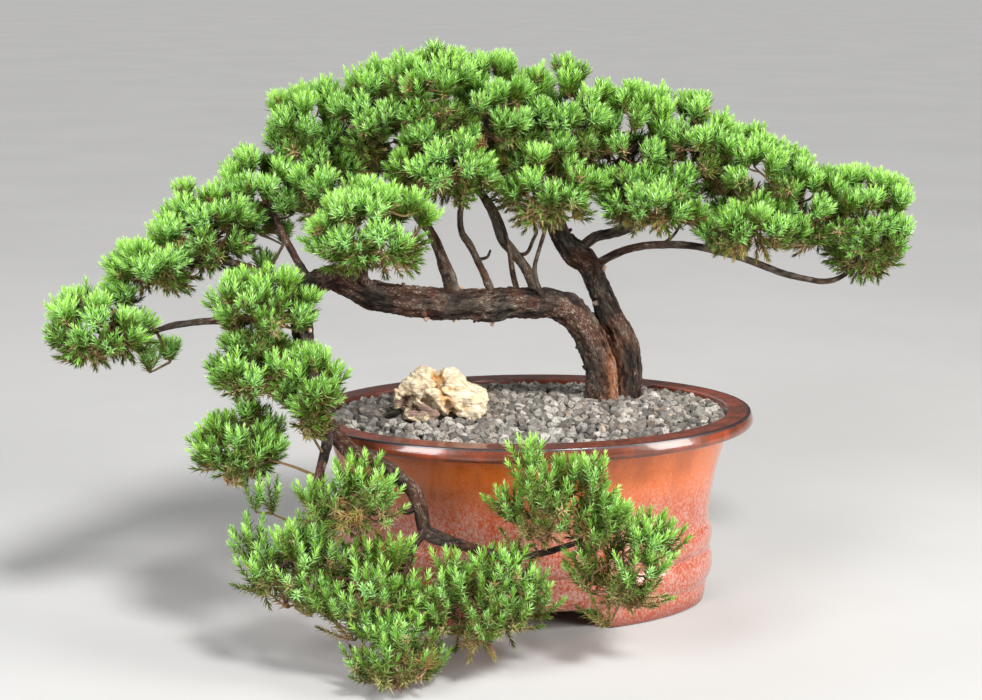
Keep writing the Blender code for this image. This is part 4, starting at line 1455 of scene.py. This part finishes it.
@dataclass(frozen=True)
class SprigShape:
    """A short length of shoot with whorls of three needles, made once and copied."""

    palette = "OFBake"
    heights: tuple
    leans: tuple
    lengths: tuple
    stem: float
    width: float = 0.00115

    def mesh(self, tone: float, rng: random.Random) -> bpy.types.Mesh:
        """The sprig, growing along +Z from the origin.

        Args:
            tone: its place in the palette.
            rng: unsettles the needles.

        Returns:
            A mesh with the palette map.
        """
        bm = bmesh.new()
        layer = bm.loops.layers.uv.new(self.palette)
        stalk = bmesh.ops.create_cone(bm, cap_ends=True, segments=3, radius1=0.0006, radius2=0.0004,
                                      depth=self.stem, matrix=Matrix.Translation((0, 0, self.stem / 2)))
        self.paint(bm, layer, stalk["verts"], Matrix(), self.stem, max(Tone.TWIG.value, tone - 0.3))
        for index, (height, lean, length) in enumerate(zip(self.heights, self.leans, self.lengths)):
            for leaf in range(3):
                turn = math.tau * leaf / 3 + index * math.pi / 3 + rng.uniform(-0.3, 0.3)
                angle = math.radians(lean) + rng.uniform(-0.14, 0.14)
                size = length * rng.uniform(0.82, 1.12)
                place = (Matrix.Translation((0, 0, height)) @ Matrix.Rotation(turn, 4, "Z")
                         @ Matrix.Rotation(-angle, 4, "X"))
                form = place @ Matrix.Diagonal((1.0, 0.62, 1.0, 1.0))
                made = bmesh.ops.create_cone(bm, cap_ends=True, segments=3, radius1=self.width * 0.56,
                                             radius2=0.0, depth=size,
                                             matrix=form @ Matrix.Translation((0, 0, size / 2)))
                self.paint(bm, layer, made["verts"], place, size, tone + rng.uniform(-0.06, 0.06))
        mesh = bpy.data.meshes.new("sprig")
        bm.to_mesh(mesh)
        bm.free()
        return mesh

    @staticmethod
    def paint(bm: bmesh.types.BMesh, layer: bmesh.types.BMLayerItem, verts: list, place: Matrix,
              length: float, tone: float) -> None:
        """Write one needle's place in the palette.

        Args:
            bm: the sprig.
            layer: the palette map.
            verts: the needle's vertices.
            place: the needle's own frame, its -Y side facing the stem.
            length: the needle's length.
            tone: its tone.
        """
        inverse = place.inverted()
        axes = inverse.to_3x3()
        bm.normal_update()
        for face in {face for vert in verts for face in vert.link_faces}:
            inner = 0.5 if (axes @ face.normal).y < -0.5 else 0.0
            for loop in face.loops:
                spot = inverse @ loop.vert.co
                along = min(1.0, max(0.0, spot.z / length))
                across = 0.014 if spot.x > 0.0 else -0.014
                level = min(0.99, max(0.01, tone + across))
                loop[layer].uv = (inner + 0.01 + 0.48 * along, level)


@dataclass
class Pad:
    """One pad of foliage: the CAD solid that it fills, how it grows, a tone shift that paints light and
    shade on it, and tufts that stray from it.
    """

    name: str
    habit: Habit
    # Painted light and shade: shifts every tone of the pad, darker for the back, low and skirt pads.
    tone: float = 0.0
    strays: tuple = ()


@dataclass
class Foliage:
    """All pads, built of copied sprigs on tufts of shoots."""

    seed: int = 77
    twig_radius: float = 0.0008
    shapes_per_tone: int = 3
    crease_fill: float = 0.008
    margin: tuple = (0.0034, 0.0034, 0.0012)

    young = SprigShape(heights=(0.0004, 0.0018, 0.0031, 0.0042), leans=(34, 28, 19, 9),
                       lengths=(0.0062, 0.0060, 0.0054, 0.0044), stem=0.0046)
    middle = SprigShape(heights=(0.0008, 0.0025, 0.0042), leans=(46, 40, 34),
                        lengths=(0.0063, 0.0064, 0.0063), stem=0.0054, width=0.00125)
    stiff = SprigShape(heights=(0.0006, 0.0024, 0.0042, 0.0056), leans=(56, 52, 46, 38),
                       lengths=(0.0058, 0.0060, 0.0058, 0.0052), stem=0.0060, width=0.00125)
    aged = SprigShape(heights=(0.0008, 0.0026, 0.0044), leans=(64, 58, 52),
                      lengths=(0.0056, 0.0062, 0.0062), stem=0.0056)

    # The third value of each pad is its painted light and shade: lighter in front, darker at the back,
    # low down and in the skirts.
    pads = (
        Pad("left_tip", Habit.SIDE, 0.02, ((-249, -44, 196), (-236, -46, 198))),
        Pad("left_outer", Habit.SIDE, 0.02),
        Pad("left_middle", Habit.SIDE, 0.0, ((-195, -10, 240), (-176, -6, 244))),
        Pad("left_crown", Habit.CROWN, 0.0, ((-162, 0, 262),)),
        Pad("left_shoulder", Habit.CROWN), Pad("middle_shoulder", Habit.CROWN),
        Pad("low_shoulder", Habit.SIDE), Pad("front", Habit.SIDE, 0.04),
        Pad("apex_left", Habit.CROWN), Pad("apex_low", Habit.SIDE, 0.02),
        Pad("apex_middle", Habit.CROWN), Pad("apex_right", Habit.CROWN),
        Pad("heart", Habit.SIDE, -0.02), Pad("back_left", Habit.BACK, -0.04),
        Pad("back_right", Habit.BACK, -0.04), Pad("right_inner", Habit.CROWN),
        Pad("right_middle", Habit.CROWN), Pad("right_low", Habit.SIDE, -0.03),
        Pad("right_outer", Habit.CROWN), Pad("right_under", Habit.SIDE, -0.03),
        Pad("right_arm", Habit.CROWN), Pad("right_tip", Habit.SIDE, 0.03),
        Pad("cascade_top", Habit.CASCADE), Pad("cascade_middle", Habit.CASCADE),
        Pad("cascade_inner", Habit.CASCADE, -0.03), Pad("cascade_low", Habit.CASCADE, -0.03),
        Pad("drop_upper", Habit.SKIRT, -0.10, ((-172, -112, 117), (-184, -112, 117), (-162, -112, 126))),
        Pad("drop_lower", Habit.SKIRT, -0.10),
        Pad("skirt_left", Habit.SKIRT, -0.12), Pad("skirt_tip", Habit.SKIRT, -0.10),
        Pad("skirt_middle", Habit.SKIRT, -0.12), Pad("spray_top", Habit.SKIRT, -0.11),
        Pad("spray_right", Habit.SKIRT, -0.12),
    )

    def prepare(self, pot: Pot, wood: Wood) -> None:
        """Make the sprig shapes and the search trees.

        Args:
            pot: gives the middle that the limbs are drawn from.
            wood: gives the lines that twigs grow from.
        """
        rng = random.Random(self.seed)
        self.shapes = {}
        kinds = {"young": self.young, "middle": self.middle, "stiff": self.stiff, "aged": self.aged}
        for kind, shape in kinds.items():
            for tone in Tone:
                self.shapes[kind, tone] = [shape.mesh(tone.value, rng)
                                           for _ in range(self.shapes_per_tone)]
        self.stalk = self.stalk_shape()
        names = [f"foliage_{pad.name}" for pad in self.pads]
        self.solids, self.owners = tree_of(names)
        self.middles = {name: sum(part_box(name), Vector()) / 2 for name in names}
        self.wood_tree, _ = tree_of(["trunk", *wood.branches])
        self.pot_tree, _ = tree_of(["pot"])
        self.middle_of_pot = pot.centre
        self.lines = [point.to_3d() for line in wood.lines(pot) for point in line]
        self.low, self.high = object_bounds()

    @staticmethod
    def stalk_shape() -> bpy.types.Mesh:
        """A bare stalk of unit length along +Z."""
        bm = bmesh.new()
        layer = bm.loops.layers.uv.new(SprigShape.palette)
        bmesh.ops.create_cone(bm, cap_ends=True, segments=3, radius1=0.00062, radius2=0.00048,
                              depth=1.0, matrix=Matrix.Translation((0, 0, 0.5)))
        for face in bm.faces:
            for loop in face.loops:
                loop[layer].uv = (0.03 + 0.4 * loop.vert.co.z, 0.05 + 0.05 * loop.vert.co.z)
        mesh = bpy.data.meshes.new("stalk")
        bm.to_mesh(mesh)
        bm.free()
        return mesh

    @staticmethod
    def tone_near(value: float) -> Tone:
        """The tone closest to a palette value."""
        return min(Tone, key=lambda tone: abs(tone.value - value))

    def build(self, pot: Pot, wood: Wood, finish: NeedleFinish) -> None:
        """Grow and dress every pad.

        Args:
            pot: gives the middle that the limbs are drawn from.
            wood: gives the lines that twigs grow from.
            finish: the needles' finish.
        """
        self.prepare(pot, wood)
        material = finish.material()
        for number, pad in enumerate(self.pads):
            rng = random.Random(self.seed + number)
            bm = bmesh.new()
            bm.loops.layers.uv.new(SprigShape.palette)
            tufts = [self.plan(pad, rng, spot, way) for spot, way in self.anchors(pad, rng)
                     if noise.noise(spot * 70.0) < 0.5 - pad.habit.value.bare_share * 1.6]
            tufts.sort(key=lambda tuft: min((point - tuft[0]).length for point in self.lines))
            grown = list(self.lines)
            for base, heading, reach, count, light, under in tufts:
                self.twig(bm, rng, grown, base, heading)
                self.shoots(bm, pad, rng, base, heading, reach, count, light, under)
            piece_from(bm, f"needles_{pad.name}", material, [f"foliage_{pad.name}"],
                       smooth=False)

    def anchors(self, pad: Pad, rng: random.Random) -> list[tuple[Vector, Vector]]:
        """Places on a pad's free surface for its tufts, no closer than the habit's spacing.

        Args:
            pad: the pad.
            rng: picks the places.

        Returns:
            Places with the surface's outward direction.
        """
        name = f"foliage_{pad.name}"
        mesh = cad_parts[name].data
        low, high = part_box(name)
        middle, half = (low + high) / 2, (high - low) / 2
        faces = list(mesh.polygons)
        areas = [face.area for face in faces]
        spacing = pad.habit.value.spacing * MM
        found = []
        for face in rng.choices(faces, weights=areas, k=1800):
            corners = [mesh.vertices[index].co for index in face.vertices]
            first, second = sorted((rng.random(), rng.random()))
            spot = corners[0] * first + corners[1] * (second - first) + corners[2] * (1.0 - second)
            round_way = Vector([part / size**2 for part, size in zip(spot - middle, half)]).normalized()
            if face.normal.dot(round_way) < 0.35 or self.in_the_way(spot):
                continue
            way = (face.normal + round_way).normalized()
            near = self.solids.find_nearest_range(spot, 0.0022)
            others = {self.owners[index] for _, _, index, _ in near} - {name}
            for other in sorted(others):
                way += (spot - self.middles[other]).normalized()
            if others:
                way.normalize()
                spot = spot + way * self.crease_fill
            if not any((spot - other).length < spacing for other, _ in found):
                found.append((spot, way))
        found += [(self.middle_of_pot + Vector((x, y, z)) * MM, UP) for x, y, z in pad.strays]
        return found

    def in_the_way(self, spot: Vector) -> bool:
        """Whether a place touches the wood or the pot."""
        return (self.wood_tree.find_nearest(spot, 0.0012)[0] is not None
                or self.pot_tree.find_nearest(spot, 0.0012)[0] is not None)

    @staticmethod
    def plan(pad: Pad, rng: random.Random, spot: Vector, way: Vector) -> tuple:
        """Settle one tuft.

        Args:
            pad: the pad.
            rng: unsettles the tuft.
            spot: where the tips of its shoots come to.
            way: the surface's outward direction there.

        Returns:
            Its base, heading, reach, number of shoots, the palette value of its tips with their painted
            light and shade, and how far it faces the ground.
        """
        growth = pad.habit.value
        under = max(0.0, -way.z)
        lift = growth.upright * (1.0 - 0.55 * under)
        heading = (way * growth.outward + UP * lift
                   + Vector([rng.gauss(0.0, 0.14) for _ in range(3)])).normalized()
        reach = growth.reach * MM * rng.uniform(0.85, 1.2)
        proud = rng.uniform(*growth.proud) + growth.roam * noise.noise(spot * 48.0)
        base = spot + heading * (proud * MM - reach)
        # Painted light and shade: tufts that face up get brighter tips, tufts that face the ground
        # darker ones.
        light = 0.87 + 0.09 * way.z + pad.tone + rng.uniform(-0.09, 0.07) - 0.38 * under
        count = round(growth.shoots * rng.uniform(0.75, 1.2) * (1.0 - 0.4 * under))
        return base, heading, reach, count, light, under

    def shoots(self, bm: bmesh.types.BMesh, pad: Pad, rng: random.Random, base: Vector,
               heading: Vector, reach: float, count: int, light: float, under: float) -> None:
        """A tuft's fan of shoots.

        Args:
            bm: the pad so far.
            pad: the pad.
            rng: unsettles the shoots.
            base: where they start.
            heading: the middle of the fan.
            reach: how long the middle shoot is.
            count: how many there are.
            light: the palette value of their tips, with the tuft's painted light and shade.
            under: how far the tuft faces the ground.
        """
        growth = pad.habit.value
        side = heading.orthogonal().normalized()
        start = rng.uniform(0.0, math.tau)
        for index in range(count):
            share = math.sqrt((index + 0.35) / count)
            axis = Matrix.Rotation(start + index * GOLDEN_TURN, 3, heading) @ side
            way = Matrix.Rotation(math.radians(growth.fan) * share, 3, axis) @ heading
            length = reach * rng.uniform(0.86, 1.16) * (1.0 - 0.20 * share**2)
            tone = light - 0.07 * share + rng.uniform(-0.05, 0.05)
            self.shoot(bm, rng, base, way, length, tone, growth, under)

    def shoot(self, bm: bmesh.types.BMesh, rng: random.Random, base: Vector, way: Vector,
              length: float, light: float, growth: Growth, under: float) -> None:
        """One shoot: a bare stalk and stacked sprigs, which bend towards the light.

        Args:
            bm: the pad so far.
            rng: picks the sprigs.
            base: where the shoot starts.
            way: the direction that it starts in.
            length: from its start to its tip.
            light: the palette value of its tip, with its painted light and shade.
            growth: gives the sprigs that it carries.
            under: how far its tuft faces the ground.
        """
        step = growth.step * MM
        bare = max(0.0012, length - len(growth.kinds) * step - 0.0030)
        turn = way.to_track_quat("Z", "Y").to_matrix().to_4x4()
        if self.is_free(base, base + way * bare):
            stamp(bm, self.stalk, Matrix.Translation(base) @ turn @ Matrix.Diagonal((1, 1, bare, 1)))
        spot = base + way * bare
        for kind, shift in growth.kinds:
            way = (way + UP * (0.13 - 0.10 * under)).normalized()
            # The sprig's tone carries the shoot's painted light and shade.
            value = light + shift + rng.uniform(-0.06, 0.06)
            if kind != "young" and rng.random() < 0.08 + 0.46 * under:
                kind, value = "aged", rng.uniform(0.12, 0.34)
            shape = self.shapes[kind, self.tone_near(value)][rng.randrange(self.shapes_per_tone)]
            turn = way.to_track_quat("Z", "Y").to_matrix().to_4x4()
            spin = Matrix.Rotation(rng.uniform(0.0, math.tau), 4, "Z")
            size = rng.uniform(0.86, 1.10)
            if not self.is_free(spot, spot + way * (step + 0.004) * size):
                return
            stamp(bm, shape, Matrix.Translation(spot) @ turn @ spin @ Matrix.Scale(size, 4))
            spot = spot + way * step * size

    def is_free(self, start: Vector, end: Vector) -> bool:
        """Whether a length of shoot stays inside the plant's box and above the ground."""
        inside = all(self.low[i] + self.margin[i] <= end[i] <= self.high[i] - self.margin[i]
                     for i in range(3))
        return inside and min(start.z, end.z) > 0.004

    def twig(self, bm: bmesh.types.BMesh, rng: random.Random, grown: list[Vector], end: Vector,
             heading: Vector) -> None:
        """A bare twig from the closest wood to a tuft.

        Args:
            bm: the pad so far.
            rng: unsettles its line.
            grown: points on the wood so far, which gets this twig's points.
            end: the tuft's base.
            heading: the tuft's direction.
        """
        start = min(grown, key=lambda point: (point - end).length - 0.25 * (point.z < end.z) * 0.02)
        span = (end - start).length
        if span < 0.001:
            return
        bow = start.lerp(end, 0.55) - heading * span * 0.07 + Vector(
            [rng.gauss(0.0, 0.07) * span for _ in range(3)])
        if min(start.z, bow.z, end.z) < 0.004:
            return
        thick = self.twig_radius * (1.0 + 12.0 * span)
        points = [(*start, thick), (*bow, thick * 0.8), (*end, thick * 0.6)]
        line = smooth_route(points, 0.005)
        part = skin(ring_places(line), 5)
        layer = part.loops.layers.uv.new(SprigShape.palette)
        for face in part.faces:
            for index, loop in enumerate(face.loops):
                loop[layer].uv = (0.02 + 0.2 * (index % 2), 0.02 + 0.05 * (index // 2 % 2))
        mesh = bpy.data.meshes.new("twig")
        part.to_mesh(mesh)
        part.free()
        bm.from_mesh(mesh)
        bpy.data.meshes.remove(mesh)
        grown += [point.to_3d() for point in line]


# ---------------------------------------------------------------- the studio


@dataclass
class Studio:
    """The camera, a pale floor and soft lights."""

    target_height: float = 0.10
    azimuth: float = -8.08
    elevation: float = 15.7
    distance: float = 1.2464
    yaw: float = 1.26
    pitch: float = -3.25
    roll: float = 0.31
    lens: float = 67.18
    floor_size: float = 80.0

    def camera(self, pot: Pot) -> None:
        """Aim the camera at the pot's middle, then turn it by its yaw, pitch and roll."""
        def outward(azimuth: float, elevation: float) -> Vector:
            flat = math.cos(elevation)
            return Vector((math.sin(azimuth) * flat, -math.cos(azimuth) * flat, math.sin(elevation)))

        azimuth, elevation = math.radians(self.azimuth), math.radians(self.elevation)
        spot = pot.centre + UP * self.target_height + outward(azimuth, elevation) * self.distance
        azimuth += math.radians(self.yaw)
        back = outward(azimuth, elevation + math.radians(self.pitch))
        level = Vector((math.cos(azimuth), math.sin(azimuth), 0.0))
        rise = back.cross(level)
        roll = math.radians(self.roll)
        right = level * math.cos(roll) + rise * math.sin(roll)
        up = rise * math.cos(roll) - level * math.sin(roll)
        data = bpy.data.cameras.new("camera")
        data.lens = self.lens
        data.sensor_width = 36.0
        camera = bpy.data.objects.new("camera", data)
        turn = Matrix((right, up, back)).transposed().to_4x4()
        camera.matrix_world = Matrix.Translation(spot) @ turn
        bpy.context.scene.collection.objects.link(camera)
        bpy.context.scene.camera = camera

    def light(self, name: str, spot: Vector, aim: Vector, size: tuple[float, float], power: float,
              colour: Colour = (1.0, 1.0, 1.0)) -> None:
        """Hang one softbox.

        Args:
            name: the light's name.
            spot: where it hangs.
            aim: what it points at.
            size: its width and height.
            power: in watts.
            colour: its colour.
        """
        data = bpy.data.lights.new(name, "AREA")
        data.shape = "RECTANGLE"
        data.size, data.size_y = size
        data.energy = power
        data.color = colour
        lamp = bpy.data.objects.new(name, data)
        turn = (spot - aim).to_track_quat("Z", "Y").to_matrix().to_4x4()
        lamp.matrix_world = Matrix.Translation(spot) @ turn
        bpy.context.scene.collection.objects.link(lamp)

    @staticmethod
    def sun(name: str, way: Vector, power: float, spread: float) -> None:
        """Set one distant, soft-edged light.

        Args:
            name: the light's name.
            way: the direction that it comes from.
            power: its strength.
            spread: how wide it looks, in degrees.
        """
        data = bpy.data.lights.new(name, "SUN")
        data.energy, data.angle = power, math.radians(spread)
        lamp = bpy.data.objects.new(name, data)
        lamp.matrix_world = way.to_track_quat("Z", "Y").to_matrix().to_4x4()
        bpy.context.scene.collection.objects.link(lamp)

    def build(self, pot: Pot) -> None:
        """Set the camera, the lights, the sky and the floor."""
        self.camera(pot)
        aim = pot.centre + UP * 0.20
        self.sun("sun", Vector((0.34, -0.72, 0.95)), 3.3, 12.0)
        self.sun("back_sun", Vector((-0.50, 0.90, 0.80)), 0.75, 60.0)
        self.light("right", aim + Vector((1.15, -0.75, 0.45)), aim, (0.50, 1.1), 24.0, (1.0, 0.98, 0.95))
        self.light("left", aim + Vector((-1.00, -1.05, 0.60)), aim, (0.50, 1.1), 24.0, (0.97, 0.98, 1.0))
        world = bpy.data.worlds.new("studio")
        world.use_nodes = True
        sky = world.node_tree.nodes["Background"]
        sky.inputs["Color"].default_value = (0.86, 0.88, 0.90, 1.0)
        sky.inputs["Strength"].default_value = 0.09
        bpy.context.scene.world = world
        bpy.context.scene.view_settings.view_transform = "Standard"
        bm = bmesh.new()
        bmesh.ops.create_grid(bm, x_segments=1, y_segments=1, size=self.floor_size / 2)
        mesh = bpy.data.meshes.new("floor")
        bm.to_mesh(mesh)
        bm.free()
        mesh.materials.append(PlainFinish("pale_floor", (0.47, 0.465, 0.455), (0.49, 0.485, 0.475), 0.85,
                                          3.0, 0.0, gloss=0.0).material())
        floor = bpy.data.objects.new("floor", mesh)
        bpy.context.scene.collection.objects.link(floor)
        floor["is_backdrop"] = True


def main() -> None:
    """Build every sub-assembly in order."""
    logging.basicConfig(level=logging.INFO, format="%(name)s %(message)s")
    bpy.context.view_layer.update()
    noise.seed_set(NOISE_SEED)
    pot = Pot()
    Studio().build(pot)
    pot.build(GlazeFinish())
    Drainage().build(
        PlainFinish("screen_plastic", (0.018, 0.020, 0.018), (0.028, 0.030, 0.028), 0.5, 300.0),
        PlainFinish("clip_wire", (0.50, 0.50, 0.49), (0.60, 0.60, 0.59), 0.28, 500.0, 0.0001, 1.0))
    soil = PlainFinish("potting_mix", (0.030, 0.020, 0.014), (0.105, 0.072, 0.048), 0.9, 260.0, 0.002)
    dress_node("soil", soil.material())
    wood = Wood()
    keep_out, _ = tree_of(["trunk", "accent_stone"])
    Dressing().build(pot, GritFinish(), keep_out)
    AccentStone().build(RockFinish())
    wood.build(pot, BarkFinish(), BarkFinish(
        name="young_bark", plate=(0.045, 0.030, 0.022), ridge=(0.160, 0.118, 0.092),
        fibre=(0.130, 0.060, 0.035), crack_and_shade=(0.018, 0.012, 0.009), lichen_share=0.5))
    Foliage().build(pot, wood, NeedleFinish())


if __name__ == "__main__":
    main()
